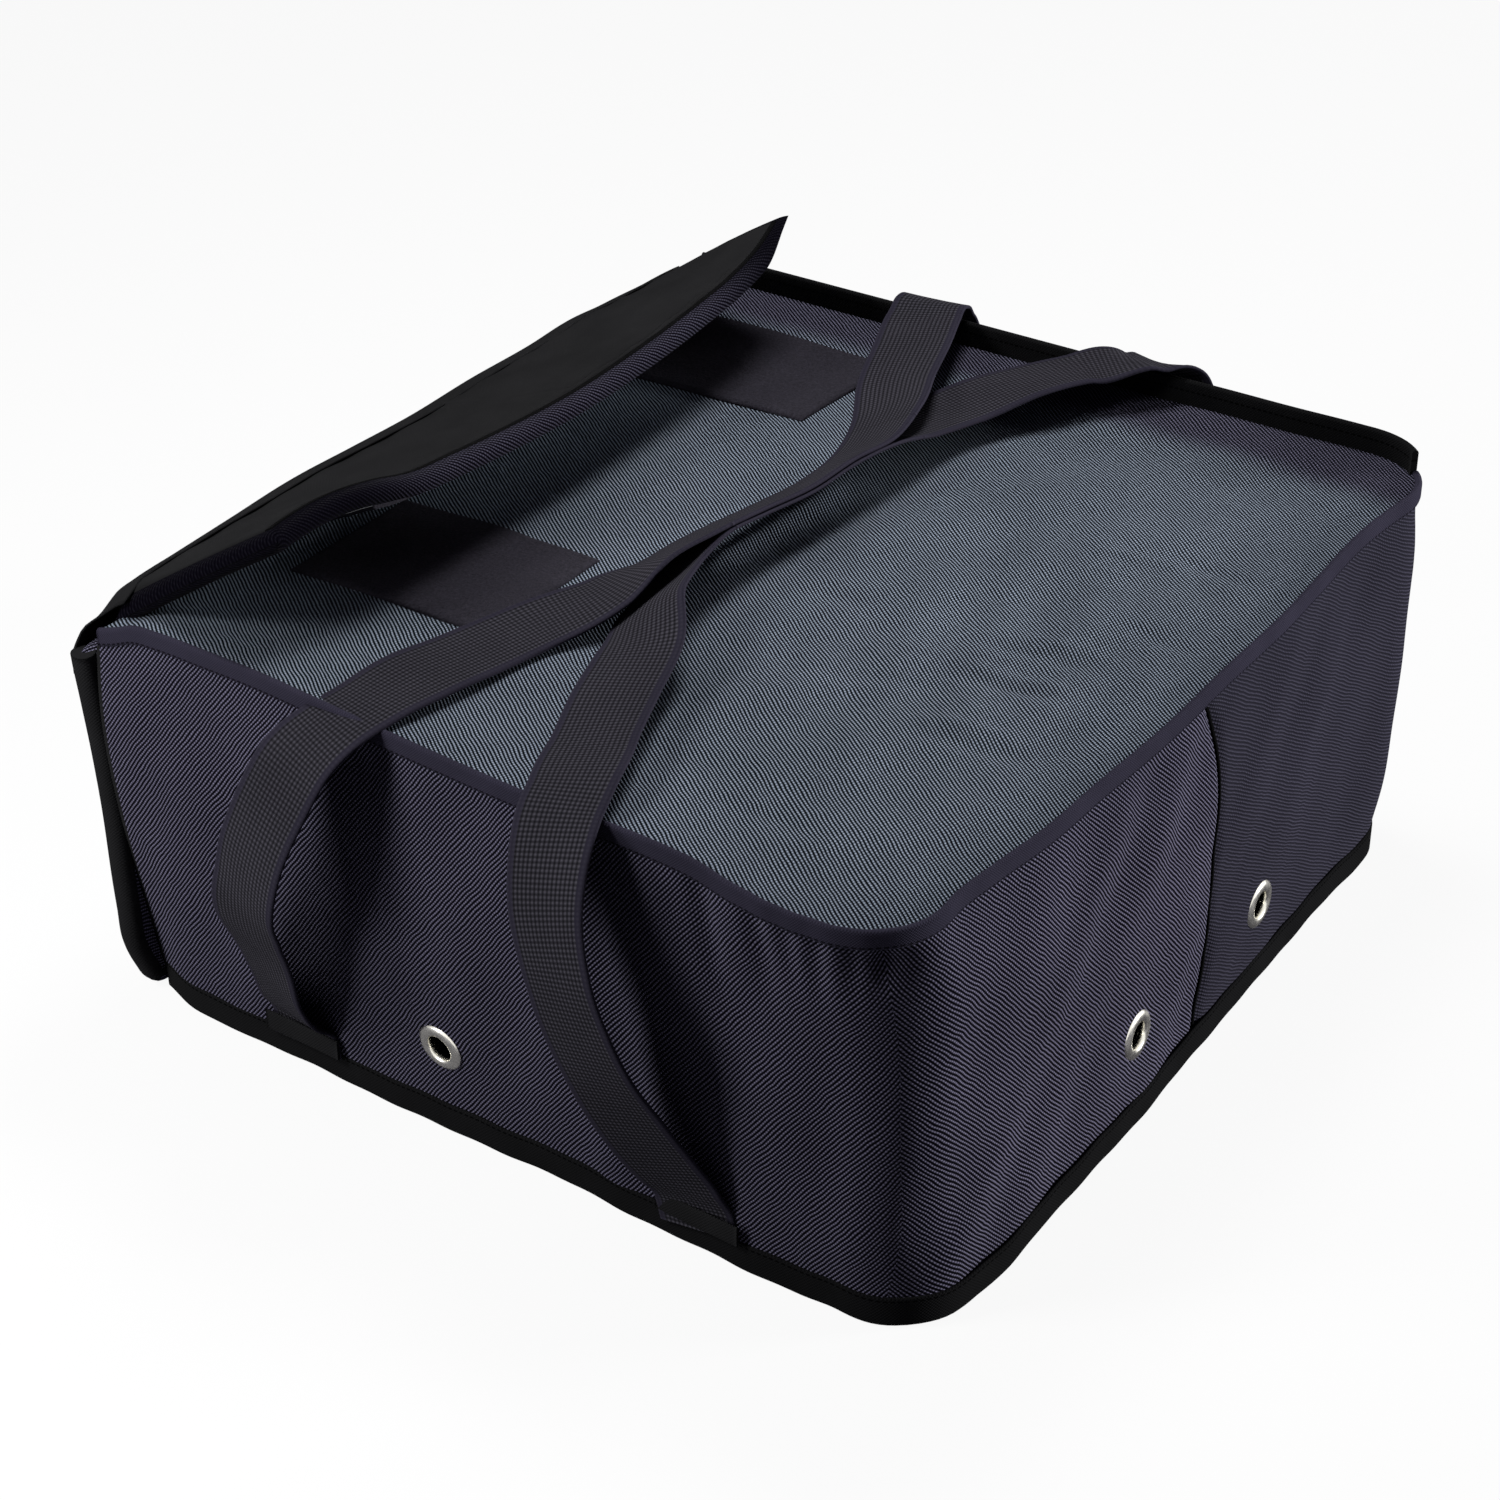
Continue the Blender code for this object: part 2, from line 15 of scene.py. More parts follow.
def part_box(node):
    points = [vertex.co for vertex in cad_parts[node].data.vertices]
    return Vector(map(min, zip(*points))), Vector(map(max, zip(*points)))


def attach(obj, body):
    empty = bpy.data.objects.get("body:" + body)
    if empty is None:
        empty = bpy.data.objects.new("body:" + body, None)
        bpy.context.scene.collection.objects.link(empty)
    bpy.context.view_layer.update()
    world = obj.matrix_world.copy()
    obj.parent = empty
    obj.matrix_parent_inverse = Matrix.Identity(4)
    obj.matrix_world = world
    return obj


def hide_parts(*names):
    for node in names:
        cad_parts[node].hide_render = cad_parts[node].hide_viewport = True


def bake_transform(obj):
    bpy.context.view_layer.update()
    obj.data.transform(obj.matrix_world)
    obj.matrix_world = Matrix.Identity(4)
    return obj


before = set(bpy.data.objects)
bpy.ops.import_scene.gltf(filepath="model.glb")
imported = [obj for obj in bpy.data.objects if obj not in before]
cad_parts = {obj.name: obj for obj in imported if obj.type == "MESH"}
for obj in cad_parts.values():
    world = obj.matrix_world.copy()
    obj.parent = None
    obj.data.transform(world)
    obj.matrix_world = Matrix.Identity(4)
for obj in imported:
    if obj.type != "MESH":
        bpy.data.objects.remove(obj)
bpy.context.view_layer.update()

bl_info = {
    "name": "Pizza delivery bag",
    "version": (1, 0, 0),
    "blender": (4, 5, 0),
    "location": "3D View > Sidebar > Pizza bag",
    "description": "Builds the cloth, tapes, straps and eyelets of a padded pizza delivery bag",
    "category": "Add Mesh",
}

TAU = 2 * math.pi

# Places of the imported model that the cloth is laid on
WALL_LOW, WALL_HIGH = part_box("front_side_panel")
MOUTH = WALL_LOW.x
CLOSED = WALL_HIGH.x
HALF = -WALL_LOW.y
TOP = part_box("top_panel")[1].z
CORNER = 0.030
FRONT_RUN = CLOSED - CORNER - MOUTH
ARC = CORNER * math.pi / 2
END_RUN = 2 * (HALF - CORNER)
WAY = 2 * FRONT_RUN + 2 * ARC + END_RUN
SEAM_Y = WALL_HIGH.y
COVER_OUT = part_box("cover_tape")[0].x
FOLD = (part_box("flap_fold")[0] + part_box("flap_fold")[1]) / 2
GRIP_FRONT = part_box("left_strap_grip")[0].y
GRIP_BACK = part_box("left_strap_grip")[1].y

# Ways along the wall from the mouth's front edge: middles of the front corner and of the closed end
CORNER_MIDDLE = FRONT_RUN + ARC / 2
END_MIDDLE = FRONT_RUN + ARC + (HALF - CORNER)

# Thicknesses: a padded leaf, outer cloth, and thin cloth and foil; then how far the foil lies inside
# the walls, and inside the base and the top
LEAF = 0.0116
CLOTH = 0.0012
THIN = 0.0008
FOIL_INSET = 0.0078
FOIL_GAP = 0.0085
INTO = np.array((1.0, 0.0, 0.0))

# The wall cloth's lower edge, and its height over that where the top edge is level
WALL_FOOT = 0.0016
WALL_TALL = TOP - 0.0028
FLAP_LENGTH = 0.108
FLAP_WIDTH = 0.41
WEB_WIDTH = 0.040
WEB_THICK = 0.0018

MM = 0.001


def linear(text):
    """Turn an sRGB hex colour to linear: a share up to 0.04045 over 12.92, else a 2.4 power."""
    shares = [int(text[i:i + 2], 16) / 255 for i in (0, 2, 4)]
    return tuple(c / 12.92 if c <= 0.04045 else ((c + 0.055) / 1.055) ** 2.4 for c in shares)


def colour(label, text, note):
    """A colour that a user may change, given as sRGB hex."""
    return FloatVectorProperty(name=label, description=note, default=linear(text), size=3,
                               subtype="COLOR", min=0, max=1)


def length(label, value, note):
    """A length that a user may change, in metres."""
    return FloatProperty(name=label, description=note, default=value, min=0, unit="LENGTH", precision=5)


class BagSizes(bpy.types.PropertyGroup):
    """Sizes of the cloth and of its weave."""

    rib_pitch: length("Rib pitch", 0.00165, "Distance between the diagonal ribs of the nylon cloth")
    bead_pitch: length("Bead pitch", 0.0016, "Distance between the floats along a rib")
    webbing_rib: length("Webbing rib", 0.0021, "Distance between the cross ribs of the webbing")
    top_crown: length("Top crown", 0.0035, "Rise of the padded top in its middle")
    stitch: length("Stitch", 0.0030, "Length of one stitch")
    flap_length: length("Flap length", FLAP_LENGTH, "Flap from its fold to its free edge")


class BagColours(bpy.types.PropertyGroup):
    """Colours of the finishes."""

    # Top yarn and gap: partly the cloth's own slate tone, partly painted sheen, lighter and bluer than the
    # side yarn where the overhead lamp falls
    top_yarn_and_sheen: colour("Top yarn", "A4B0C1", "Raised yarn of the top cloth")
    top_dark: colour("Top gap", "05070B", "Gaps between the ribs of the top cloth")
    side_light: colour("Side yarn", "7E7B92", "Raised yarn of the side cloth")
    side_dark: colour("Side gap", "050409", "Gaps between the ribs of the side cloth")
    band: colour("Edge band", "2E2C38", "Smooth folded band round the top")
    tape: colour("Tape", "1E1E1F", "Black binding tape")
    webbing: colour("Webbing", "2A292E", "Straps")
    loop: colour("Loop pile", "27252C", "Loop patches on the top")
    foil: colour("Foil", "C9CCCF", "Lining")
    nickel: colour("Nickel", "F6F3E8", "Eyelets")


# Meshes


def smoothstep(low, high, x):
    """0 below low, 1 above high, and 3t^2 - 2t^3 of the share t in between."""
    t = np.clip((x - low) / (high - low), 0, 1)
    return t * t * (3 - 2 * t)


def bell(x, middle, width):
    """A bell curve, e to the minus square of the distance from the middle over the width."""
    return np.exp(-((x - middle) / width) ** 2)


def through(x, places, values):
    """A smooth curve through keys: a cubic in each span, with slopes from the neighbouring keys."""
    places = np.asarray(places, float)
    values = np.asarray(values, float)
    slopes = np.gradient(values, places)
    i = np.clip(np.searchsorted(places, x) - 1, 0, len(places) - 2)
    span = places[i + 1] - places[i]
    t = np.clip((x - places[i]) / span, 0, 1)
    return (values[i] * (1 + 2 * t) * (1 - t) ** 2 + slopes[i] * span * t * (1 - t) ** 2
            + values[i + 1] * t * t * (3 - 2 * t) + slopes[i + 1] * span * t * t * (t - 1))


def stack(x, y, z):
    """Three arrays as points along a last axis."""
    return np.stack(np.broadcast_arrays(x, y, z), -1).astype(float)


def chart(u, v):
    """Two arrays as places on a piece's own map, in metres."""
    return stack(u, v, 0)[..., :2]


def unit(v):
    """Vectors over their lengths."""
    return v / np.maximum(np.linalg.norm(v, axis=-1, keepdims=True), 1e-12)


def heading(path):
    """Direction of a path at each of its points."""
    return unit(np.gradient(path, axis=0))


def row_of(count, first=0.0, last=1.0):
    """Even steps down the rows of a grid."""
    return np.linspace(first, last, count)[:, None]


def column_of(count, first=0.0, last=1.0):
    """Even steps along the columns of a grid."""
    return np.linspace(first, last, count)[None, :]


def quads(rows, columns, wrap_rows=False, wrap_columns=False):
    """Corner numbers of the faces of a grid of points, joined to itself where it wraps."""
    index = np.arange(rows * columns).reshape(rows, columns)
    if wrap_rows:
        index = np.concatenate([index, index[:1]], 0)
    if wrap_columns:
        index = np.concatenate([index, index[:, :1]], 1)
    return np.stack([index[:-1, :-1], index[1:, :-1], index[1:, 1:], index[:-1, 1:]], -1).reshape(-1, 4)


def mesh_object(name, points, faces, material, uv=None, flat_ends=0):
    """A mesh object at the origin from an array of points, an array of faces and a map per point.

    The last flat_ends faces are shaded flat.
    """
    mesh = bpy.data.meshes.new(name)
    mesh.vertices.add(len(points))
    mesh.vertices.foreach_set("co", np.asarray(points, np.float32).ravel())
    corners = faces.shape[1]
    mesh.loops.add(faces.size)
    mesh.loops.foreach_set("vertex_index", faces.astype(np.int32).ravel())
    mesh.polygons.add(len(faces))
    mesh.polygons.foreach_set("loop_start", np.arange(0, faces.size, corners, dtype=np.int32))
    mesh.polygons.foreach_set("use_smooth", np.arange(len(faces)) < len(faces) - flat_ends)
    if uv is not None:
        layer = mesh.uv_layers.new(name="cloth")
        layer.data.foreach_set("uv", np.asarray(uv, np.float32)[faces.ravel()].ravel())
    mesh.update(calc_edges=True)
    mesh.validate()
    mesh.materials.append(material)
    thing = bpy.data.objects.new(name, mesh)
    bpy.context.scene.collection.objects.link(thing)
    return thing


def sheet_of(name, points, material, uv, thickness, flip=False, second=None, share=None, holes=None):
    """A grid of points as cloth: one surface with its thickness on the inner side.

    A second finish covers the faces of the rows that share marks as true. Holes is 1 at the points
    that are cut out and 0 elsewhere: a face goes where the mean of its corners is over one half.
    """
    rows, columns = points.shape[:2]
    faces = quads(rows, columns)
    mark = np.repeat(share[:-1], columns - 1) if second else None
    points, uv = points.reshape(-1, 3), uv.reshape(-1, 2)
    if holes is not None:
        whole = holes.reshape(-1)[faces].mean(1) <= 0.5
        mark = mark[whole] if second else None
        used, faces = np.unique(faces[whole], return_inverse=True)
        faces, points, uv = faces.reshape(-1, 4), points[used], uv[used]
    if flip:
        faces = faces[:, ::-1]
    thing = mesh_object(name, points, faces, material, uv)
    if second:
        thing.data.materials.append(second)
        thing.data.polygons.foreach_set("material_index", mark.astype(np.int32))
    shell = thing.modifiers.new("thickness", "SOLIDIFY")
    shell.thickness = thickness
    shell.offset = -1
    shell.use_quality_normals = True
    return thing


def capped(rows, columns):
    """Faces of a tube of rings: the sides, and each end closed by a strip across its ring."""
    sides = quads(rows, columns, wrap_columns=True)
    half = columns // 2
    a = np.arange(half - 1)
    first = np.stack([a, a + 1, columns - 2 - a, columns - 1 - a], -1)
    return np.concatenate([sides, first[:, ::-1], first + (rows - 1) * columns])


def sweep(name, path, side, up, profile, material):
    """A closed profile carried along a path: point = path + side * across + up * height.

    The map runs along the path in metres, and round the profile in metres.
    """
    points = path[:, None] + side[:, None] * profile[None, :, :1] + up[:, None] * profile[None, :, 1:]
    rows, columns = points.shape[:2]
    along = np.concatenate([[0], np.cumsum(np.linalg.norm(np.diff(path, axis=0), axis=1))])
    uv = chart(along[:, None], profile[None, :, 0]).reshape(-1, 2)
    return mesh_object(name, points.reshape(-1, 3), capped(rows, columns), material, uv, columns - 2)


def flat_profile(width, thickness, steps=6, edge=4):
    """Outline of a flat strip with half-round edges, drawn anticlockwise."""
    r = thickness / 2
    across = np.linspace(-width / 2 + r, width / 2 - r, steps + 2)
    turn = np.linspace(-math.pi / 2, math.pi / 2, edge + 1)[1:-1]
    right = np.stack([width / 2 - r + r * np.cos(turn), r * np.sin(turn)], -1)
    left = -right
    low = np.stack([across, np.full_like(across, -r)], -1)
    high = np.stack([across[::-1], np.full_like(across, r)], -1)
    return np.concatenate([low, right, high, left])


# The bag's shell

# Bulge of the walls over their straight plan line, in millimetres: way along the wall from the mouth
# at the front in millimetres, then at the foot, low, middle, high and at the top edge
BULGE = np.array([
    (0, -17, -9, 1, 5, 2),
    (22, -9, -5, 2, 5, 1),
    (55, -8, -4, 3, 4, 0),
    (110, -7, -3, 3, 3, -1),
    (170, -5, -3, 4, 3, 0),
    (235, -6, -2, 4, 5, 1),
    (290, -3, 0, 5, 6, 1),
    (320, -2, 0, 5, 6, 2),
    (345, -1, 1, 5, 6, 7),
    (366, -2, 1, 4, 6, 9),
    (383, -2, 0, 2, 5, 8),
    (410, 3, 3, 3, 3, 2),
    (440, 11, 7, 6, 5, -3),
    (465, 14, 9, 8, 7, -1),
    (500, 12, 9, 10, 9, 3),
    (540, 12, 9, 10, 9, 4),
    (590, 11, 9, 11, 10, 6),
    (650, 8, 8, 10, 9, 5),
    (705, 6, 7, 9, 7, 5),
    (740, 5, 5, 8, 6, 3),
    (800, 4, 4, 5, 4, 1),
    (828, 4, 6, 7, 7, 4),
    (853, 2, 9, 10.5, 10.5, 9),
    (880, 5, 6, 6, 6, 5),
    (910, 0, 2, 3, 3, 1),
    (960, -5, 0, 4, 3, 0),
    (1080, -8, -2, 5, 3, -1),
    (1200, -10, -4, 3, 4, 0),
    (1264, -12, -6, 1, 4, 2),
]) * MM
BULGE_HEIGHTS = np.array((0.0, 0.045, 0.105, 0.165, 0.200))


def bulge(s, z):
    """Swell of the wall over its plan line: the table's curves along the wall, mixed up its height."""
    height = np.clip(z, 0, BULGE_HEIGHTS[-1])
    return sum(through(s, BULGE[:, 0], curve) * through(height, BULGE_HEIGHTS, one)
               for curve, one in zip(BULGE[:, 1:].T, np.eye(len(BULGE_HEIGHTS))))


# Rise of the top edge over the level, in millimetres, by the way along the wall in millimetres
RISE = np.array([
    (0, 3), (10, 6), (20, 10), (35, 11), (60, 10.5), (90, 9.5), (118, 7.5), (167, 4.5), (200, 3),
    (230, 2), (300, 2), (335, 0), (450, 0), (650, 0), (800, 1), (853, 3), (900, 6), (1000, 6), (1150, 5),
    (1240, 3), (1264, 2),
]) * MM


def edge_rise(s):
    """Height of the top edge over the level at a way along the wall."""
    return through(s, RISE[:, 0], RISE[:, 1])


# Pleats under the top band from the right strap to the corner, in millimetres: way along the wall,
# width, reach down the wall and depth; and the share by which each moves along as it goes down
PLEATS = np.array([
    (316, 6, 66, 4.2, 0.30), (345, 6, 60, 3.8, 0.22), (362, 5, 46, 3.2, 0.12),
    (376, 5, 50, 3.6, 0.08), (391, 4, 44, 3.2, 0.04), (402, 4, 36, 2.6, 0.00),
]) * (MM, MM, MM, MM, 1)


def pleats(s, z):
    """Depth of the pleats: a leaning bell each, whole near the band and gone at its reach."""
    down = TOP - z
    depth = sum(size * bell(s - lean * down, middle, width) * smoothstep(reach, 0.3 * reach, down)
                for middle, width, reach, size, lean in PLEATS)
    return depth * smoothstep(0, 0.009, down)


# Soft folds that run up the walls: share by which each leans back as it rises from half height, way
# along the wall in metres, width in millimetres and height in tenths of a millimetre
FOLDS = (
    (0.1, 0.262, 12, 18), (0.1, 0.283, 14, -20), (0.1, 0.305, 12, 14), (0.1, 0.215, 20, -12),
    (-0.2, 0.080, 20, 12), (0.3, 0.085, 16, -10), (-0.8, 0.492, 11, 12), (-0.8, 0.520, 11, -12),
    (-0.8, 0.548, 11, 10), (-0.8, 0.576, 11, -7), (-0.8, 0.655, 11, 9), (-0.8, 0.690, 11, -11),
    (-0.8, 0.725, 11, 8),
)

# Short dents near the top edge: way along the wall in metres, width, depth below the top edge and
# reach up and down in millimetres, and height in tenths of a millimetre
DENTS = (
    (0.404, 10, 12, 16, -55), (0.425, 10, 12, 16, 15), (0.150, 8, 12, 16, -12), (0.272, 7, 50, 30, -16),
)


def folds(s, z):
    """Folds of the loose outer cloth: leaning bells, dents and slow waves, none at the sewn edges."""
    down = TOP - z
    hold = smoothstep(0, 0.03, z) * smoothstep(0, 0.02, down)
    hold = hold * smoothstep(0, 0.02, s) * smoothstep(0, 0.02, WAY - s)
    out = 0.0007 * np.sin(s * 61 + z * 23) * np.sin(z * 31 + s * 7)
    out = out + 0.0005 * np.sin(s * 117 - z * 40 + 1.3) + 0.0004 * np.sin(s * 43 + z * 90)
    for lean, middle, width, size in FOLDS:
        out = out + size * MM / 10 * bell(s + lean * (z - 0.1), middle, width * MM)
    for middle, width, depth, reach, size in DENTS:
        out = out + size * MM / 10 * bell(s, middle, width * MM) * bell(down, depth * MM, reach * MM)
    return out * hold - pleats(s, z)


def plan(s):
    """Plan line of the walls and its outward direction: front, round corner, end, corner, rear."""
    front = np.clip(s, 0, FRONT_RUN)
    first = np.clip(s - FRONT_RUN, 0, ARC) / CORNER
    end = np.clip(s - FRONT_RUN - ARC, 0, END_RUN)
    second = np.clip(s - FRONT_RUN - ARC - END_RUN, 0, ARC) / CORNER
    rear = np.clip(s - FRONT_RUN - 2 * ARC - END_RUN, 0, FRONT_RUN)
    x = MOUTH + front + CORNER * np.sin(first) - CORNER * (1 - np.cos(second)) - rear
    y = -HALF + CORNER * (1 - np.cos(first)) + end + CORNER * np.sin(second)
    turn = first + second - math.pi / 2
    return x, y, np.cos(turn), np.sin(turn)


def wall(s, z, inset=0.0, loose=1.0):
    """Point of the wall at a way along and a height: plan point plus outward swell less the inset."""
    s, z = np.broadcast_arrays(np.asarray(s, float), np.asarray(z, float))
    x, y, out_x, out_y = plan(s)
    swell = bulge(s, z) + loose * folds(s, z) - inset
    return stack(x + out_x * swell, y + out_y * swell, z)


def wall_normal(s, z):
    """Outward direction of the wall, from its slopes along and up."""
    step = 0.001
    along = wall(s + step, z) - wall(s - step, z)
    up = wall(s, z + step) - wall(s, z - step)
    return unit(np.cross(along, up))


# End seam between the two side strips: height and place across the bag, both in millimetres
END_SEAM = np.array([
    (0, 11), (12, 12), (24, 14), (38, 18), (53, 20), (80, 18.5), (105, 17), (137, 16), (165, 11),
    (183, 6), (202, -5),
]) * MM


def end_seam(z):
    """Way along the wall of the seam on the closed end, at a height."""
    return END_MIDDLE + through(z, END_SEAM[:, 0], END_SEAM[:, 1])


def board_points(z, inset, across):
    """Board between the walls at one height, as far as the middles of the round corners.

    Straight lines run from the front border to the rear one, by the share v. The bow of the closed
    end away from its straight line is added by the share u from the mouth.
    """
    u = np.linspace(0, 1, across[0])
    v = np.linspace(0, 1, across[1])
    front = wall(CORNER_MIDDLE * u, z, inset, 0)[:, None]
    rear = wall(WAY - CORNER_MIDDLE * u, z, inset, 0)[:, None]
    end = wall(CORNER_MIDDLE + (WAY - 2 * CORNER_MIDDLE) * v, z, inset, 0)
    lines = front + (rear - front) * v[None, :, None]
    return lines + (end - lines[-1:]) * u[:, None, None]


# Creases of the top cloth, in millimetres: x and y of both ends, half width, and height in tenths
CREASES = np.array([
    (118, -56, 184, -42, 4, -9), (118, -46, 180, -33, 4, 7), (112, -26, 186, -10, 5, -8),
    (125, -12, 185, 2, 4, 6), (130, -105, 198, -88, 5, -9), (125, -93, 190, -77, 4, 7),
    (72, -86, 142, -60, 5, -6), (32, -30, 74, -23, 6, -6), (144, 97, 206, 88, 4, -7),
    (113, 75, 172, 90, 4, 7), (160, 27, 208, 24, 4, -7), (84, -190, 150, -186, 5, -6),
]) * (MM, MM, MM, MM, MM, MM / 10)


def creases(x, y):
    """Creases that run from end to end of each line: a bell across it, fading toward both ends."""
    z = 0.0
    for x0, y0, x1, y1, width, height in CREASES:
        length = math.hypot(x1 - x0, y1 - y0)
        ahead = ((x - x0) * (x1 - x0) + (y - y0) * (y1 - y0)) / length ** 2
        off = ((y - y0) * (x1 - x0) - (x - x0) * (y1 - y0)) / length
        z = z + height * bell(off, 0, width) * smoothstep(0, 0.35, ahead) * smoothstep(1, 0.65, ahead)
    return z


def top_swell(x, y):
    """Height of the padded top over its edge: a crown, a valley along the grip, and soft ripples."""
    sizes = bpy.context.scene.bag_sizes
    # Distance from the sewn edges, then the places along and across the grip's line from its middle
    edge = np.minimum(np.minimum(x + 0.20, 0.222 - x), 0.228 - np.abs(y))
    hold = smoothstep(0.0, 0.035, edge)
    along = (x + 0.02) * 0.35 + (y - 0.05) * 0.94
    side = (x + 0.02) * 0.94 - (y - 0.05) * 0.35
    z = sizes.top_crown * smoothstep(0, 0.12, edge)
    z = z - 0.0030 * bell(side, 0.030, 0.020) * bell(along, 0.02, 0.11)
    z = z + 0.0016 * bell(side, 0.072, 0.026) * bell(along, 0.0, 0.14)
    z = z + 0.0014 * bell(side, -0.030, 0.030) * bell(along, 0.0, 0.12)
    ridge = smoothstep(-0.045, -0.02, y) * smoothstep(0.075, 0.05, y)
    z = z + 0.0026 * bell(x, -0.014 + 0.08 * (y + 0.03), 0.007) * ridge
    for middle, size in ((0.150, 0.0011), (0.166, -0.0009), (0.181, 0.0008)):
        z = z + size * bell(x - 0.35 * (y + 0.01), middle, 0.006) * bell(y, -0.008, 0.022)
    z = z - 0.0016 * bell(x - 0.3 * y, -0.075, 0.016) * bell(y, -0.02, 0.10)
    z = z - 0.0016 * bell(x + 0.15 * y, 0.185, 0.014) * bell(y, -0.03, 0.12)
    z = z + 0.0006 * np.sin(x * 62 + y * 17) * np.sin(y * 38 - x * 12)
    z = z + 0.0007 * np.sin(x * 95 - y * 62 + 0.7) * smoothstep(0.0, 0.08, x)
    z = z + 0.0004 * np.sin(x * 170 + y * 60) * smoothstep(0.02, 0.12, x) * bell(y, -0.02, 0.11)
    return (z + creases(x, y)) * hold


def top_height(x, y):
    """Height of the top cloth's outer face: the level, the swell, and the raised front and rear edges.

    Each edge's rise fades as 1 - smoothstep of the distance from it, over 60 mm.
    """
    s = np.clip(x - MOUTH, 0, CORNER_MIDDLE)
    front = edge_rise(s) * smoothstep(0.060, 0, y + HALF)
    rear = edge_rise(WAY - s) * smoothstep(0.060, 0, HALF - y)
    return TOP - 0.0004 + top_swell(x, y) + front + rear


# Flap and cover

# Lean of the flap in degrees, by the place across the bag in millimetres
FLAP_KEYS = np.array([
    (-214, 30.0), (-190, 31.0), (-160, 30.4), (-140, 28.4), (-118, 25.2), (-90, 23.6), (-50, 22.0),
    (0, 21.0), (45, 21.6), (100, 23.6), (135, 25.6), (162, 28.6), (190, 33.5),
]) * (MM, math.pi / 180)


def flap_angle(y):
    """Lean of the flap over the level: its free edge sags between lifted ends."""
    return through(y, FLAP_KEYS[:, 0], FLAP_KEYS[:, 1])


# Sag of the fold line, in millimetres, along the mouth: its two ends hang down
FOLD_SAG = np.array([
    (-234, -13), (-225, -11), (-217, -10), (-209, -6), (-205, -4), (-197, -3), (-171, -2), (-131, -0.5),
    (-89, 1), (-46, -0.5), (0, -2), (45, -1), (94, -1.5), (128, -0.5), (145, -2), (162, -3), (180, -4.5),
    (206, -6), (234, -12),
]) * MM


def fold_sag(y):
    """Height of the fold line over its CAD height."""
    return through(y, FOLD_SAG[:, 0], FOLD_SAG[:, 1])


def flap_sides(d):
    """Near and far side of the flap at a distance from its fold."""
    share = np.clip(d / FLAP_LENGTH, 0, 1)
    return -0.2160 + 0.0100 * share, 0.2060 - 0.0190 * share


def flap_point(d, y, h):
    """Point of the flap: along its leaning face by d, and off its under side by h.

    The fold's sag fades in a straight line from the fold to the free edge.
    """
    angle = flap_angle(y)
    x = FOLD.x + d * np.cos(angle) - h * np.sin(angle)
    sag = fold_sag(y) * (1 - np.clip(d / FLAP_LENGTH, 0, 1))
    return stack(x, y, FOLD.z + d * np.sin(angle) + h * np.cos(angle) + sag)


# Half width of the cover, in millimetres, by its height in millimetres
COVER_HALF = np.array([
    (0, 213), (5, 218), (16, 223.5), (33, 229), (53, 230), (65, 230.5), (115, 231.5), (150, 233.5),
    (169, 235), (204, 237),
]) * MM


def cover_half(z):
    """Half width of the cover at a height: rounded at the foot and wider at the top."""
    return through(z, COVER_HALF[:, 0], COVER_HALF[:, 1])


def corner_push(y, z):
    """How far the cover's top corners stand out, where the fold gathers."""
    return 0.0012 * bell(np.abs(y), 0.236, 0.016) * bell(z, TOP - 0.012, 0.018)


def pillow(place, edges, thickness, rounding, across, low):
    """Top and under side of a padded leaf that meet at its edge.

    place(u, v, h) puts shares u, v and a height h. The half thickness grows from the edge as a
    quarter circle of the rounding, and both sides meet in one line.
    """
    u, v = (0.5 - 0.5 * np.cos(np.linspace(0, math.pi, count)) for count in across)
    uv = np.meshgrid(u, v, indexing="ij")
    half = thickness / 2
    for share, edge in zip(uv, edges):
        inside = np.clip(np.minimum(share, 1 - share) * edge / rounding, 0, 1)
        half = half * np.sqrt(1 - (1 - inside) ** 2)
    middle = low + thickness / 2
    return place(*uv, middle + half), place(*uv, middle - half), uv[1] * edges[1]


def leaf_object(name, place, edges, thickness, rounding, across, material, low=0.0):
    """A padded leaf as one closed mesh: the upper grid, the under grid, and their shared edge.

    The map runs over the upper side and back along the under side, in metres.
    """
    over, under, cross = pillow(place, edges, thickness, rounding, across, low)
    rows, columns = cross.shape
    inner = np.zeros((rows, columns), bool)
    inner[1:-1, 1:-1] = True
    below = np.arange(rows * columns).reshape(rows, columns)
    below[inner] = rows * columns + np.arange(inner.sum())
    points = np.concatenate([over.reshape(-1, 3), under[inner]])
    plain = quads(rows, columns)
    faces = np.concatenate([plain, below.reshape(-1)[plain][:, ::-1]])
    upper, lower = (np.concatenate([np.zeros((1, columns)), np.cumsum(
        np.linalg.norm(np.diff(side, axis=0), axis=2), axis=0)]) for side in (over, under))
    lower = upper[-1:] + lower[-1:] - lower
    uv = np.concatenate([chart(upper, cross).reshape(-1, 2), chart(lower, cross)[inner]])
    return mesh_object(name, points, faces, material, uv)


# Materials


COLOUR_MIX = {"data_type": "RGBA", "out": 2}


def node(tree, kind, *values, named=None, out=0, **settings):
    """Add a node with its settings, feed its inputs in order or by name, and give one output.

    Each input gets a plain value, or the output that feeds it.
    """
    made = tree.nodes.new("ShaderNode" + kind)
    for key, value in settings.items():
        setattr(made, key, value)
    for key, value in (*enumerate(values), *(named or {}).items()):
        if isinstance(value, bpy.types.NodeSocket):
            tree.links.new(value, made.inputs[key])
        else:
            made.inputs[key].default_value = value
    return made.outputs[out] if made.outputs else None


def empty_tree(owner):
    """The owner's node tree, with nothing in it."""
    owner.use_nodes = True
    owner.node_tree.nodes.clear()
    return owner.node_tree


def dim(hue, share=1.0):
    """A colour times a share, with its alpha."""
    return (*(c * share for c in hue[:3]), 1)


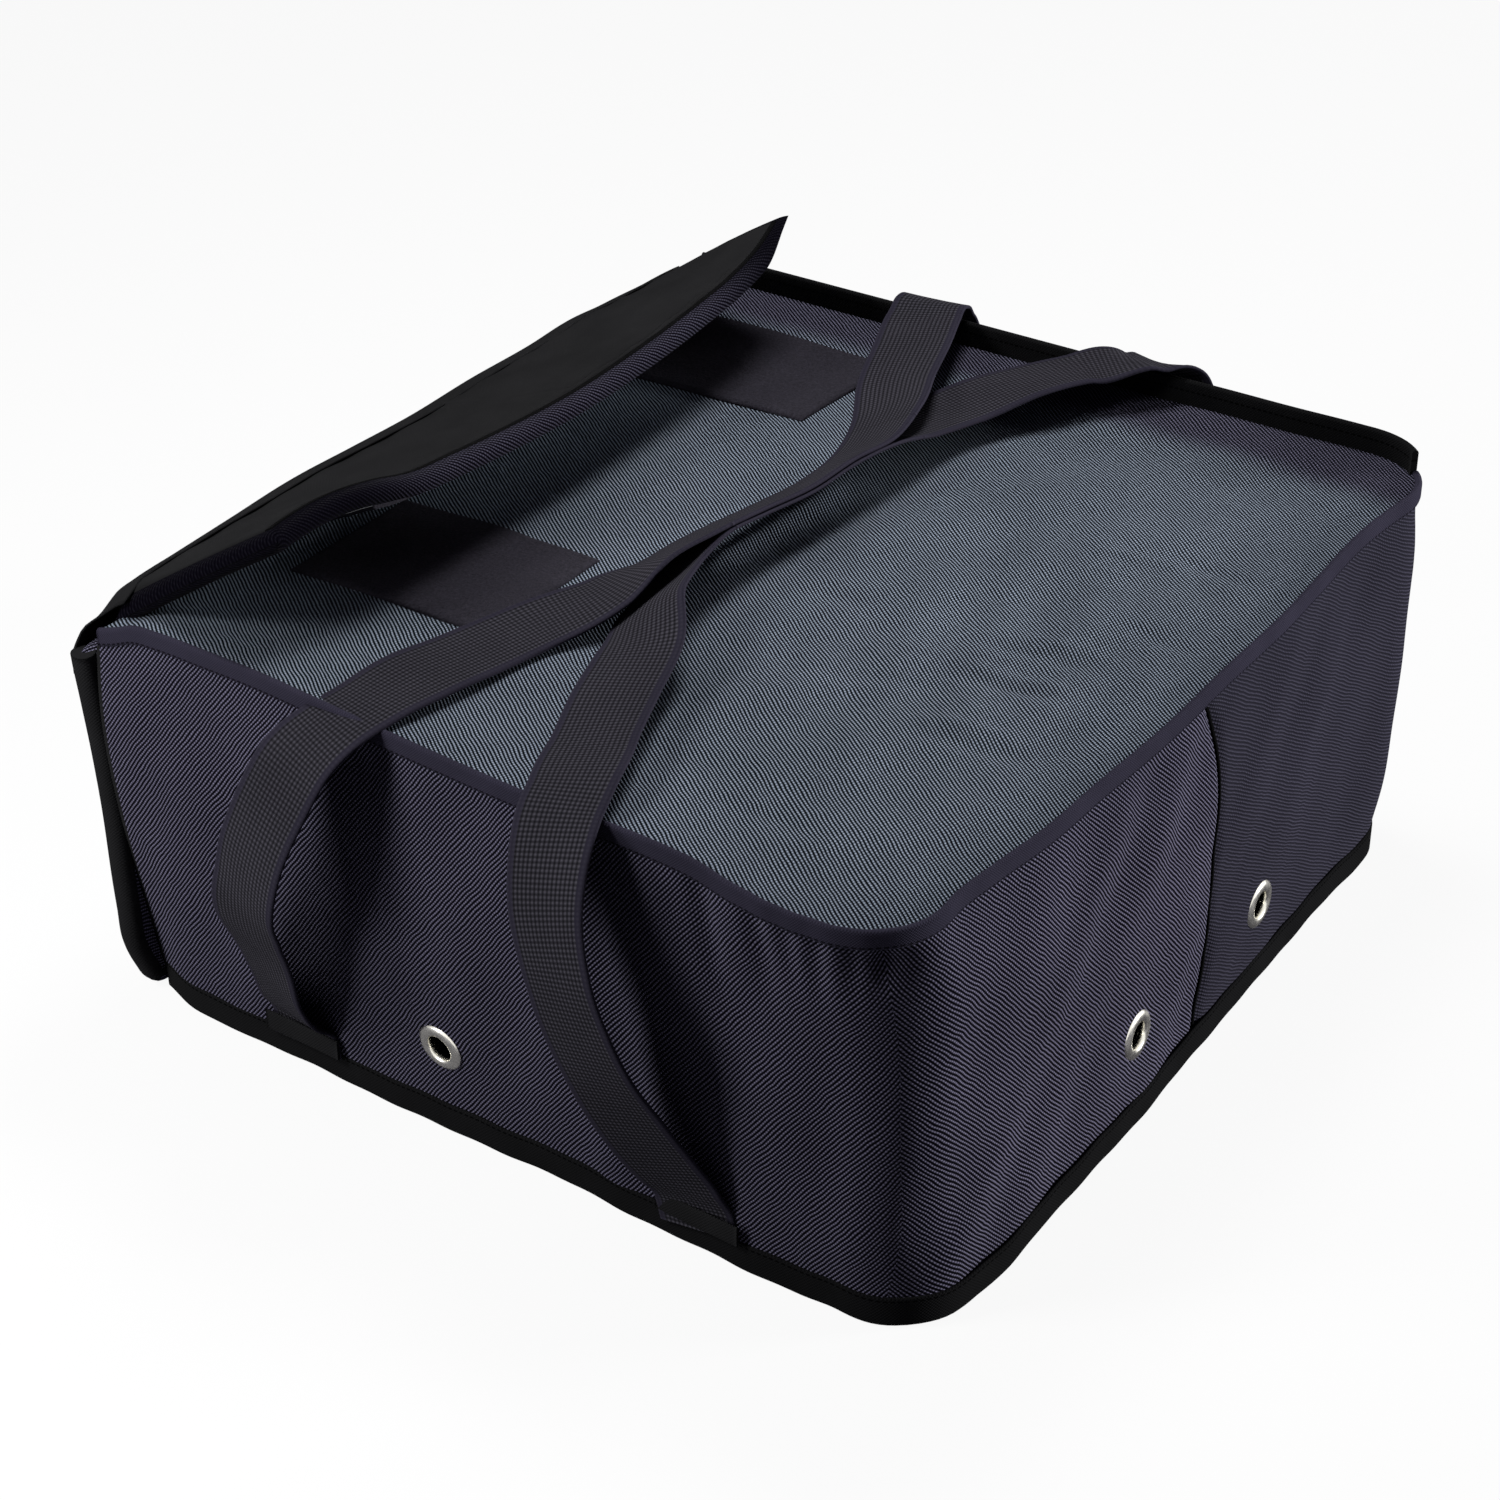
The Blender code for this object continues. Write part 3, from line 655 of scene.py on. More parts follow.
def finish(name, base, roughness, bump, distance, strength, **sockets):
    """A Principled finish. Values that are the same all over stand on the shader's own sockets."""
    material = bpy.data.materials.new(name)
    tree = empty_tree(material)
    sockets = {key.replace("_", " "): value for key, value in sockets.items()}
    for key, value in (("Base Color", base), ("Roughness", roughness)):
        sockets[key] = value(tree) if callable(value) else value
    relief = {"Height": bump(tree), "Distance": distance, "Strength": strength}
    sockets["Normal"] = node(tree, "Bump", named=relief)
    node(tree, "OutputMaterial", node(tree, "BsdfPrincipled", named=sockets))
    return material


def shaded(tree, share, value, gain, least):
    """A share times the sum of a value's gain and the least."""
    value = node(tree, "Math", value, gain, least, operation="MULTIPLY_ADD")
    return node(tree, "Math", share, value, operation="MULTIPLY")


def sine(tree, where, axis, pitch):
    """Sine along one axis of a map, with one wave in each pitch."""
    way = node(tree, "SeparateXYZ", where, out=axis)
    phase = node(tree, "Math", way, TAU / pitch, operation="MULTIPLY")
    return node(tree, "Math", phase, operation="SINE")


def twill_height(turn):
    """Height of ballistic nylon: diagonal ribs of thick yarn, each a row of short floats.

    Across the ribs and along them run cosine waves of the real pitches, and a slow noise bends both.
    Each rib's floats stand 2.1 radians on from those of the rib before it.
    """
    def build(tree):
        sizes = bpy.context.scene.bag_sizes
        plain = node(tree, "TexCoord", out="UV")
        wander = node(tree, "TexNoise", plain, 0, 60, 2, out=1)
        bent = node(tree, "VectorMath", wander, (0.5, 0.5, 0.5), operation="SUBTRACT")
        bent = node(tree, "VectorMath", bent, (0.0022, 0.0022, 0), operation="MULTIPLY")
        moved = node(tree, "VectorMath", plain, bent, operation="ADD")
        turned = node(tree, "Mapping", moved, (0, 0, 0), (0, 0, turn))
        x, y = (node(tree, "SeparateXYZ", turned, out=axis) for axis in (0, 1))
        across = node(tree, "Math", y, TAU / sizes.rib_pitch, operation="MULTIPLY")
        row = node(tree, "Math", y, 1 / sizes.rib_pitch, operation="MULTIPLY")
        row = node(tree, "Math", row, operation="FLOOR")
        along = node(tree, "Math", x, TAU / sizes.bead_pitch, operation="MULTIPLY")
        along = node(tree, "Math", row, 2.1, along, operation="MULTIPLY_ADD")
        rib = node(tree, "Math", across, operation="COSINE")
        rib = node(tree, "Math", rib, -0.5, 0.5, operation="MULTIPLY_ADD")
        bead = node(tree, "Math", along, operation="COSINE")
        bead = node(tree, "Math", bead, 0.5, 0.5, operation="MULTIPLY_ADD")
        return shaded(tree, node(tree, "Math", rib, 0.8, operation="POWER"), bead, 0.38, 0.62)
    return build


def cloth(name, light, dark, turn, ends=None, border=None):
    """Ballistic nylon: raised yarn over dark gaps, and slow patches of wear.

    With ends, four places along the map's second axis, the yarn fades into painted shade outside the middle
    two.
    With border, two places on that axis and a colour, the yarn takes the colour past the second.
    """
    height = twill_height(turn)

    def base(tree):
        share = node(tree, "Math", height(tree), 2.4, operation="POWER")
        plain = node(tree, "TexCoord", out="UV")
        for waves, detail, gain, least in ((900, 2, 0.4, 0.8), (14, 3, 0.5, 0.75)):
            share = shaded(tree, share, node(tree, "TexNoise", plain, 0, waves, detail), gain, least)
        way = node(tree, "SeparateXYZ", plain, out=1)
        # Painted shade: outside the middle two places of ends the yarn's share drops toward the dark gaps
        for start, stop in (ends[:2], ends[:1:-1]) if ends else ():
            painted_shade_share = node(tree, "MapRange", way, start, stop, 0.08, interpolation_type="SMOOTHSTEP")
            share = node(tree, "Math", share, painted_shade_share, operation="MULTIPLY")
        yarn = light
        if border:
            past = node(tree, "MapRange", way, *border[:2], interpolation_type="SMOOTHSTEP")
            yarn = node(tree, "Mix", past, named={6: light, 7: border[2]}, **COLOUR_MIX)
        return node(tree, "Mix", share, named={6: dark, 7: yarn}, **COLOUR_MIX)

    return finish(name, base, 0.7, height, 0.0005, 0.9,
                  Sheen_Weight=0.01, Sheen_Roughness=0.45, Specular_IOR_Level=0.0)


def stitched(tree, under, offset, thread):
    """A row of stitches: dashes of thread along the map's first axis, at an offset on its second."""
    plain = node(tree, "TexCoord", out="UV")
    line = node(tree, "Math", node(tree, "SeparateXYZ", plain, out=1), offset, 0.00045, operation="COMPARE")
    dash = sine(tree, plain, 0, bpy.context.scene.bag_sizes.stitch)
    dash = node(tree, "Math", dash, -0.4, operation="GREATER_THAN")
    line = node(tree, "Math", line, dash, operation="MULTIPLY")
    return node(tree, "Mix", line, named={6: under, 7: thread}, **COLOUR_MIX)


def plain_cloth(name, hue, weave, depth=0.00025, contrast=0.5, seam=None):
    """Plain woven tape: a fine square weave whose threads darken between each other.

    With a seam, an offset across the tape, a row of darker stitches runs along it.
    """
    def height(tree):
        plain = node(tree, "TexCoord", out="UV")
        threads = (sine(tree, plain, axis, weave) for axis in (0, 1))
        both = node(tree, "Math", *threads, operation="MULTIPLY")
        return node(tree, "Math", both, 0.5, 0.5, operation="MULTIPLY_ADD")

    def base(tree):
        share = node(tree, "Math", height(tree), contrast, 0.5 - contrast / 2, operation="MULTIPLY_ADD")
        slow = node(tree, "TexNoise", node(tree, "TexCoord", out="Object"), 0, 30, 3)
        slow = node(tree, "Math", slow, 0.6, -0.3, operation="MULTIPLY_ADD")
        share = node(tree, "Math", share, slow, operation="ADD")
        face = node(tree, "Mix", share, named={6: dim(hue, 0.5), 7: dim(hue, 1.5)}, **COLOUR_MIX)
        return stitched(tree, face, seam, dim(hue, 0.25)) if seam else face

    return finish(name, base, 0.8, height, depth, 0.8, Sheen_Weight=0.01, Sheen_Roughness=0.5,
                  Specular_IOR_Level=0.0)


def webbing_cloth(name, hue):
    """Woven strap: fine cross ribs in the middle, and a smooth firm edge at each side."""
    def parts(tree):
        plain = node(tree, "TexCoord", out="UV")
        pitches = (bpy.context.scene.bag_sizes.webbing_rib, 0.0022)
        waves = (sine(tree, plain, axis, pitch) for axis, pitch in enumerate(pitches))
        ribs, cords = (node(tree, "Math", wave, 0.5, 0.5, operation="MULTIPLY_ADD") for wave in waves)
        side = node(tree, "Math", node(tree, "SeparateXYZ", plain, out=1), operation="ABSOLUTE")
        return ribs, cords, node(tree, "Math", side, WEB_WIDTH / 2 - 0.0035, operation="GREATER_THAN")

    def height(tree):
        ribs, cords, edge = parts(tree)
        middle = shaded(tree, ribs, cords, 0.5, 0.5)
        rest = node(tree, "Math", 0.6, middle, operation="SUBTRACT")
        return node(tree, "Math", edge, rest, middle, operation="MULTIPLY_ADD")

    def base(tree):
        ribs, cords, edge = parts(tree)
        share = node(tree, "Math", ribs, 0.65, 0.35, operation="MULTIPLY_ADD")
        share = shaded(tree, share, cords, 0.75, 0.25)
        slow = node(tree, "TexNoise", node(tree, "TexCoord", out="Object"), 0, 25, 3)
        share = shaded(tree, share, slow, 0.6, 0.7)
        body = node(tree, "Mix", share, named={6: dim(hue, 0.15), 7: dim(hue, 2.6)}, **COLOUR_MIX)
        edge = node(tree, "Math", edge, 0.8, operation="MULTIPLY")
        selvedge = (hue[0] * 0.95, hue[1] * 0.9, hue[2] * 1.15, 1)
        return node(tree, "Mix", edge, named={6: body, 7: selvedge}, **COLOUR_MIX)

    return finish(name, base, 0.75, height, 0.0004, 0.9, Sheen_Weight=0.01, Sheen_Roughness=0.4,
                  Specular_IOR_Level=0.0)


def pile_cloth(name, hue):
    """Loop pile: a dull fuzz of short loops, with brighter tips here and there."""
    def height(tree):
        plain = node(tree, "TexCoord", out="Object")
        fine = node(tree, "TexNoise", plain, 0, 700, 3, 0.7)
        coarse = node(tree, "TexNoise", plain, 0, 160, 2)
        return node(tree, "Math", coarse, 0.6, fine, operation="MULTIPLY_ADD")

    def base(tree):
        share = node(tree, "TexNoise", node(tree, "TexCoord", out="Object"), 0, 800, 3, 0.75)
        share = node(tree, "Math", share, 1.6, operation="POWER")
        return node(tree, "Mix", share, named={6: dim(hue, 0.35), 7: dim(hue, 2.6)}, **COLOUR_MIX)

    return finish(name, base, 0.95, height, 0.0010, 1.0, Sheen_Weight=0.02, Sheen_Roughness=0.8,
                  Specular_IOR_Level=0.0)


def hazed(waves, gain, least):
    """Roughness of a metal that varies with a noise of so many waves a metre."""
    def build(tree):
        haze = node(tree, "TexNoise", node(tree, "TexCoord", out="Object"), 0, waves, 3)
        return node(tree, "Math", haze, gain, least, operation="MULTIPLY_ADD")
    return build


def foil_cloth(name, hue):
    """Foil on foam: a crinkled metal film."""
    def height(tree):
        plain = node(tree, "TexCoord", out="Object")
        fold = node(tree, "TexVoronoi", plain, 0, 90, feature="DISTANCE_TO_EDGE")
        return node(tree, "Math", fold, node(tree, "TexNoise", plain, 0, 40, 4), operation="ADD")

    return finish(name, hue, hazed(60, 0.25, 0.2), height, 0.0012, 0.6, Metallic=0.9)


def plated(name, hue):
    """Nickel-plated brass, pressed: bright, with faint tool lines and handling haze."""
    def height(tree):
        return node(tree, "TexNoise", node(tree, "TexCoord", out="Object"), 0, 500, 2)

    return finish(name, hue, hazed(350, 0.22, 0.14), height, 0.00006, 0.5, Metallic=1.0)


MATERIALS = {}


def materials():
    """All finishes, made once and kept by their names."""
    if MATERIALS:
        return MATERIALS
    hues = bpy.context.scene.bag_colours
    deg = math.radians
    side, tape, nickel = hues.side_light, hues.tape, hues.nickel
    dark = dim(hues.side_dark)
    MATERIALS.update(
        # The padded top's coarse nylon: its yarn partly the cloth's own slate tone and partly painted sheen,
        # lighter and bluer than the walls' yarn for the overhead lamp; purple along its rear edge
        top=cloth("slate_ballistic_nylon", dim(hues.top_yarn_and_sheen), dim(hues.top_dark), deg(36.5),
                  border=(0.184, 0.206, dim(side, 0.85))),
        # The same cloth on the walls, with its ribs as they run on each strip
        side=cloth("navy_ballistic_nylon", dim(side), dark, deg(-53)),
        end=cloth("navy_ballistic_nylon_end", dim(side), dark, deg(48)),
        # The closed end's rear strip: the side cloth painted darker as shade, its yarn at a third over gaps
        # lifted to about a twelfth, so its weave is fainter too
        end_rear=cloth("navy_ballistic_nylon_rear_painted_shade", dim(side, 0.32), dim(side, 0.08), deg(32)),
        # The flap's rolled edge: the side cloth painted darker as shade, its yarn at a third, and darker
        # still toward both ends of the roll
        flap_edge=cloth("navy_ballistic_nylon_flap_painted_shade", dim(side, 0.33), dark, deg(-51),
                        ends=(0.05, 0.12, 0.31, 0.39)),
        # Sewn edges: the purple-grey band, black tape without and with stitches, and dull piping. The
        # stitched tape is the same black tape painted down to six tenths, as shade at the base and the back
        # edge
        band=plain_cloth("folded_nylon_band", hues.band, 0.0013, seam=-0.0030),
        tape=plain_cloth("polypropylene_tape", tape, 0.0016),
        sewn_tape=plain_cloth("sewn_polypropylene_tape_painted_shade", dim(tape, 0.6), 0.0016, seam=0.0056),
        piping=plain_cloth("black_nylon_piping", dim(tape, 0.25), 0.0012),
        # The flap's smooth face, nearly without weave
        smooth=plain_cloth("smooth_black_nylon", tape, 0.0010, 0.00012, 0.25),
        # Ribbed straps, fuzzy fastener patches, the mirror-like lining
        webbing=webbing_cloth("nylon_webbing", hues.webbing),
        loop=pile_cloth("loop_pile", hues.loop),
        foil=foil_cloth("foil_lining", dim(hues.foil)),
        # Bright eyelets, their bores painted nearly black as shade inside the holes
        nickel=plated("plated_brass", dim(nickel)),
        bore=plated("brass_bore_painted_shade", dim(nickel, 0.06)),
    )
    return MATERIALS


def placed(piece, body, slot, *nodes):
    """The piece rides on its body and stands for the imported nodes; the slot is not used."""
    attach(piece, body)
    if nodes:
        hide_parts(*nodes)
    return piece


# Operators


def eyelet_places():
    """Name, way along the wall and height of each eyelet's middle."""
    places = []
    for name in ("front_eyelet", "rear_eyelet", "end_front_eyelet", "end_rear_eyelet"):
        low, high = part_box(name)
        x, y, z = (low + high) / 2
        ways = {"front": x - MOUTH, "rear": WAY - (x - MOUTH), "end": END_MIDDLE + y}
        places.append((name, ways[name.split("_")[0]], z))
    return places


def eyelet_holes(s, z):
    """1 inside the hole cut for an eyelet and 0 outside it, with a border two millimetres wide."""
    return sum(smoothstep(0.0102, 0.0082, np.hypot(s - middle, z - height))
               for _, middle, height in eyelet_places())


class BAG_OT_walls(bpy.types.Operator):
    """Lay the outer cloth of the two side walls"""

    bl_idname = "pizza_bag.walls"
    bl_label = "Side walls"

    def execute(self, context):
        """Grid of shares along the wall and up it: mouth to wavy end seam, foot to raised edge."""
        made = materials()
        up = column_of(76)
        seam = end_seam(WALL_FOOT + WALL_TALL * up)
        # The rear sheet's part on the closed end takes the side cloth painted darker as shade
        for side, first, last, second, pull in (("front", 0 * seam, seam, "end", 0.0),
                                                ("rear", seam, WAY + 0 * seam, "end_rear", 0.0012)):
            s = first + (last - first) * row_of(300)
            z = WALL_FOOT + (WALL_TALL + edge_rise(s)) * up
            dip = 0.0024 * bell(s, seam, 0.0040) + pull * bell(s, seam, 0.02)
            middle = s[:, 35]
            closed = (middle > CORNER_MIDDLE) & (middle < WAY - CORNER_MIDDLE)
            piece = sheet_of(side + "_side_cloth", wall(s, z, dip), made["side"], chart(s, z), CLOTH,
                             second=made[second], share=closed, holes=eyelet_holes(s, z))
            placed(piece, "bag", "side_cloth", side + "_side_panel", side + "_side_padding")
        z = np.linspace(0.012, TOP - 0.006, 120)
        s = end_seam(z)
        off = wall_normal(s, z)
        path = wall(s, z, 0.0022) + off * 0.0004
        piping = sweep("end_seam_piping", path, unit(np.cross(heading(path), off)), off,
                       flat_profile(0.0020, 0.0012, 2, 4), made["piping"])
        placed(piping, "bag", "black_tape")
        return {"FINISHED"}


class BAG_OT_top(bpy.types.Operator):
    """Lay the padded top"""

    bl_idname = "pizza_bag.top"
    bl_label = "Top"

    def execute(self, context):
        """The blend of the walls' borders, lifted by the top's own swell."""
        points = board_points(TOP, 0.0006, (170, 180))
        points[..., 2] = top_height(points[..., 0], points[..., 1])
        piece = sheet_of("top_cloth", points, materials()["top"], points[..., :2], CLOTH)
        placed(piece, "bag", "top_cloth", "top_panel", "top_padding")
        return {"FINISHED"}


class BAG_OT_base(bpy.types.Operator):
    """Lay the base"""

    bl_idname = "pizza_bag.base"
    bl_label = "Base"

    def execute(self, context):
        """The blend of the walls' borders at the floor, facing down."""
        points = board_points(0.0, 0.0006, (100, 100))
        piece = sheet_of("base_cloth", points, materials()["tape"], points[..., :2], CLOTH, flip=True)
        placed(piece, "bag", "black_cloth", "base_panel", "base_padding")
        return {"FINISHED"}


class BAG_OT_lining(bpy.types.Operator):
    """Line the inside with foil"""

    bl_idname = "pizza_bag.lining"
    bl_label = "Foil lining"

    def execute(self, context):
        """Walls, base and top again, one padded wall further in and facing inwards."""
        foil = materials()["foil"]
        seam = END_MIDDLE + SEAM_Y
        for side, first, last in (("front", 0.0, seam), ("rear", seam, WAY)):
            s, z = np.broadcast_arrays(row_of(int((last - first) / 0.003), first, last),
                                       column_of(70, FOIL_GAP, TOP - FOIL_GAP))
            piece = sheet_of(side + "_side_foil", wall(s, z, FOIL_INSET, 0.6), foil, chart(s, z), THIN,
                             flip=True, holes=eyelet_holes(s, z))
            placed(piece, "bag", "foil", side + "_side_lining")
        for part, height in (("base", FOIL_GAP), ("top", TOP - FOIL_GAP)):
            points = board_points(height, FOIL_INSET, (70, 70))
            if part == "top":
                points[..., 2] += top_swell(points[..., 0], points[..., 1]) * 0.6
            piece = sheet_of(part + "_foil", points, foil, points[..., :2], THIN, flip=part == "top")
            placed(piece, "bag", "foil", part + "_lining")
        return {"FINISHED"}


def wall_strip(name, s, centre, depth, profile, material):
    """A profile carried along the walls at a height, with its width up the wall."""
    _, _, out_x, out_y = plan(s)
    out = stack(out_x, out_y, 0)
    return sweep(name, wall(s, centre, 0, 0.4) + out * depth, stack(0 * s, 0, 1), out, profile, material)


class BAG_OT_tapes(bpy.types.Operator):
    """Sew the tapes and bands over the edges"""

    bl_idname = "pizza_bag.tapes"
    bl_label = "Tapes and bands"

    def execute(self, context):
        """Rounded strips carried along the walls' edges."""
        made = materials()
        corner_end = FRONT_RUN + ARC * 1.5 + END_RUN
        s = np.linspace(0.001, corner_end, 420)
        band = wall_strip("top_edge_roll", s, TOP - 0.0030 + edge_rise(s), 0.0006,
                          flat_profile(0.0092, 0.0036, 4, 6), made["band"])
        placed(band, "bag", "edge_cloth", "top_edge_band")
        s = np.linspace(corner_end, WAY - 0.001, 160)
        # The back binding takes the stitched tape painted darker as shade
        back = wall_strip("back_edge_binding", s, TOP + 0.0014 + edge_rise(s), -0.0006,
                          flat_profile(0.0220, 0.0032, 4, 6), made["sewn_tape"])
        placed(back, "bag", "black_tape", "back_edge_tape")
        s = np.linspace(0.0, WAY, 420)
        wavy = 0.0004 * np.sin(s * 83) + 0.0003 * np.sin(s * 197 + 1)
        # The base binding takes the stitched tape painted darker as shade
        base = wall_strip("base_binding", s, 0.0082 + wavy, 0.0004,
                          flat_profile(0.0146, 0.0018, 4, 4), made["sewn_tape"])
        placed(base, "bag", "black_tape", "base_tape")
        return {"FINISHED"}


class BAG_OT_mouth(bpy.types.Operator):
    """Bind the edges of the mouth"""

    bl_idname = "pizza_bag.mouth"
    bl_label = "Mouth binding"

    def execute(self, context):
        """One rounded strip up the front edge, across the top edge and down the rear edge."""
        z = np.linspace(0.004, TOP - 0.004, 40)
        front, rear = (wall(s, z, 0.0052, 0) for s in (0, WAY))
        over = stack(0, np.linspace(front[-1, 1], rear[-1, 1], 60), TOP - 0.0042)
        path = np.concatenate([front, over[1:-1], rear[::-1]])
        path[:, 0] = MOUTH - 0.0002
        piece = sweep("mouth_binding", path, INTO + 0 * path, unit(np.cross(heading(path), INTO)),
                      flat_profile(0.0060, 0.0100, 3, 8), materials()["tape"])
        placed(piece, "bag", "black_tape", "mouth_tape")
        return {"FINISHED"}


class BAG_OT_cover(bpy.types.Operator):
    """Hang the padded mouth cover"""

    bl_idname = "pizza_bag.cover"
    bl_label = "Mouth cover"

    def execute(self, context):
        """A padded leaf with rounded foot corners, a foil back and a binding round three edges."""
        made = materials()
        height = FOLD.z - 0.001
        reach = 0.2300

        def place(u, v, h):
            z = 0.0006 + height * u
            y = (v * 2 - 1) * cover_half(z)
            z = z + fold_sag(y) * u
            crown = 0.003 * np.sin(np.pi * u) * np.sin(np.pi * v)
            return stack(COVER_OUT + LEAF - h - crown * (h > LEAF / 2) - corner_push(y, z), y, z)

        piece = leaf_object("cover_cloth", place, (height, reach * 2), LEAF - 0.001, 0.006, (60, 130),
                            made["side"], 0.0004)
        placed(piece, "cover", "side_cloth", "cover_panel", "cover_padding")
        u, v = row_of(40, 0.06, 0.96), column_of(80, 0.03, 0.97)
        foil = sheet_of("cover_foil", place(u, v, 0.0001), made["foil"], chart(u * height, v * reach), THIN)
        placed(foil, "cover", "foil", "cover_lining")
        z = np.linspace(height, 0.004, 60)
        half = cover_half(z)
        near = stack(0, -half, z + 0.0006 + fold_sag(-half) * z / height)
        foot = stack(0, np.linspace(near[-1, 1], -near[-1, 1], 60), near[-1, 2])
        path = np.concatenate([near, foot[1:-1], near[::-1] * (1, -1, 1)])
        path[:, 0] = COVER_OUT + LEAF / 2 - corner_push(path[:, 1], path[:, 2])
        inward = unit(np.cross(INTO, heading(path)))
        tape = sweep("cover_binding", path + inward * 0.0045, INTO + 0 * path, inward,
                     flat_profile(LEAF, 0.0105, 3, 8), made["tape"])
        placed(tape, "cover", "black_tape", "cover_tape")
        return {"FINISHED"}


class BAG_OT_flap(bpy.types.Operator):
    """Hang the padded flap"""

    bl_idname = "pizza_bag.flap"
    bl_label = "Flap"

    def execute(self, context):
        """A padded leaf with a rolled free edge, its smooth outer cloth, and the bare patch on it."""
        made = materials()
        reach = bpy.context.scene.bag_sizes.flap_length

        def place(u, v, h):
            d = 0.0015 + (reach - 0.0015) * u
            near, far = flap_sides(d)
            thin = 1 - 0.6 * smoothstep(0.92, 1.0, v)
            return flap_point(d, near + (far - near) * v, LEAF - (LEAF - h) * thin)

        # The padded body takes the cloth whose rolled edge is painted with shade
        piece = leaf_object("flap_cloth", place, (reach, FLAP_WIDTH), LEAF - 0.0008, 0.0062, (50, 150),
                            made["flap_edge"])
        placed(piece, "flap", "side_cloth", "flap_padding", "flap_tape")
        for name, span_u, span_v, lift, nodename, slot in (
                ("flap_outer_cloth", (0.01, 0.925), (0.012, 0.988), 0.0006, "flap_panel", "side_cloth"),
                ("flap_bare_patch", (0.005, 0.900), (0.52, 0.885), 0.0014, "flap_badge", "black_cloth")):
            u, v = row_of(40, *span_u), column_of(130, *span_v)
            edge = smoothstep(0, 0.02, u - span_u[0]) * smoothstep(0, 0.03, span_u[1] - u)
            edge = edge * smoothstep(0, 0.008, v - span_v[0]) * smoothstep(0, 0.008, span_v[1] - v)
            wave = 0.0005 * np.sin(u * 9 + v * 31) * np.sin(v * 57)
            piece = sheet_of(name, place(u, v, LEAF - 0.0006 + (lift + wave) * edge), made["smooth"],
                             chart(u * FLAP_LENGTH, v * FLAP_WIDTH), THIN)
            placed(piece, "flap", slot, nodename)
        v = np.linspace(0.012, 0.985, 160)
        path = place(0.938, v, LEAF - 0.0011)
        across = unit(path - place(0.90, v, LEAF - 0.0011))
        piping = sweep("flap_seam_piping", path, across, unit(np.cross(across, heading(path))),
                       flat_profile(0.0042, 0.0016, 2, 4), made["piping"])
        placed(piping, "flap", "black_tape")
        u, v = row_of(30, 0.08, 0.83), column_of(90, 0.03, 0.97)
        foil = sheet_of("flap_foil", place(u, v, -0.0001), made["foil"], chart(u * reach, v * 0.4), THIN,
                        flip=True)
        placed(foil, "flap", "foil", "flap_lining")
        return {"FINISHED"}


class BAG_OT_fold(bpy.types.Operator):
    """Join the cover to the flap"""

    bl_idname = "pizza_bag.fold"
    bl_label = "Fold"

    def execute(self, context):
        """A strip of cloth in an arc from the cover's outer face to the flap's outer face.

        Both its ends run straight on for 13 mm, down the cover and along the flap.
        """
        q = row_of(22)
        taper = smoothstep(0.25, 0.85, q)
        near, far = (side + (end - side) * taper for side, end in zip((-0.2335, 0.2335), flap_sides(0.0)))
        y = near + (far - near) * column_of(170)
        angle = flap_angle(y)
        turn = math.pi + (angle - math.pi / 2) * smoothstep(0, 1, q)
        radius = LEAF + 0.0004
        slide = (q - 0.5) * 0.026
        past = np.maximum(slide, 0)
        z = FOLD.z + radius * np.sin(turn)
        x = FOLD.x + radius * np.cos(turn) + past * np.cos(angle) - corner_push(y, z) * (1 - taper)
        z = z + np.minimum(slide, 0) + past * np.sin(angle) + fold_sag(y)
        piece = sheet_of("fold_cloth", stack(x, y, z), materials()["smooth"], chart(q * 0.03, y), 0.0010,
                         flip=True)
        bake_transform(piece)
        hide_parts("flap_fold")
        return {"FINISHED"}


class BAG_OT_fasteners(bpy.types.Operator):
    """Lay the loop patches on the top and the hook patches under the flap"""

    bl_idname = "pizza_bag.fasteners"
    bl_label = "Hook and loop"

    def execute(self, context):
        """Patches that follow what they are sewn to, with a worn pile and turned-down borders."""
        u, v = row_of(90), column_of(70)
        pile = materials()["loop"]
        for side in ("front", "rear"):
            low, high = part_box("loop_patch_" + side)
            x = low.x + (high.x - low.x) * u
            y = low.y + (high.y - low.y) * v
            fuzz = 0.00025 * np.sin(x * 2300 + y * 900) * np.sin(y * 2100 - x * 700)
            raised = self.inside(u, v, high.x - low.x, high.y - low.y)
            z = top_height(x, y) + 0.0004 + (0.0016 + fuzz) * raised
            piece = sheet_of("loop_pile_" + side, stack(x, y, z), pile, chart(x, y), CLOTH)
            placed(piece, "bag", "loop_cloth", "loop_patch_" + side)
            low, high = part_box("hook_patch_" + side)
            start, reach = 0.030, 0.060
            d = start + reach * u
            y = low.y + (high.y - low.y) * v
            under = -0.0002 - 0.0016 * self.inside(u, v, reach, high.y - low.y)
            piece = sheet_of("hook_pile_" + side, flap_point(d, y, under), pile, chart(d, y), 0.0010,
                             flip=True)
            placed(piece, "flap", "hook_cloth", "hook_patch_" + side)
        return {"FINISHED"}

    @staticmethod
    def inside(u, v, length_u, length_v):
        """0 at a patch's border, and 1 from 2.2 mm inside it."""
        away = np.minimum(np.minimum(u, 1 - u) * length_u, np.minimum(v, 1 - v) * length_v)
        return smoothstep(0, 0.0022, away)


# Straps

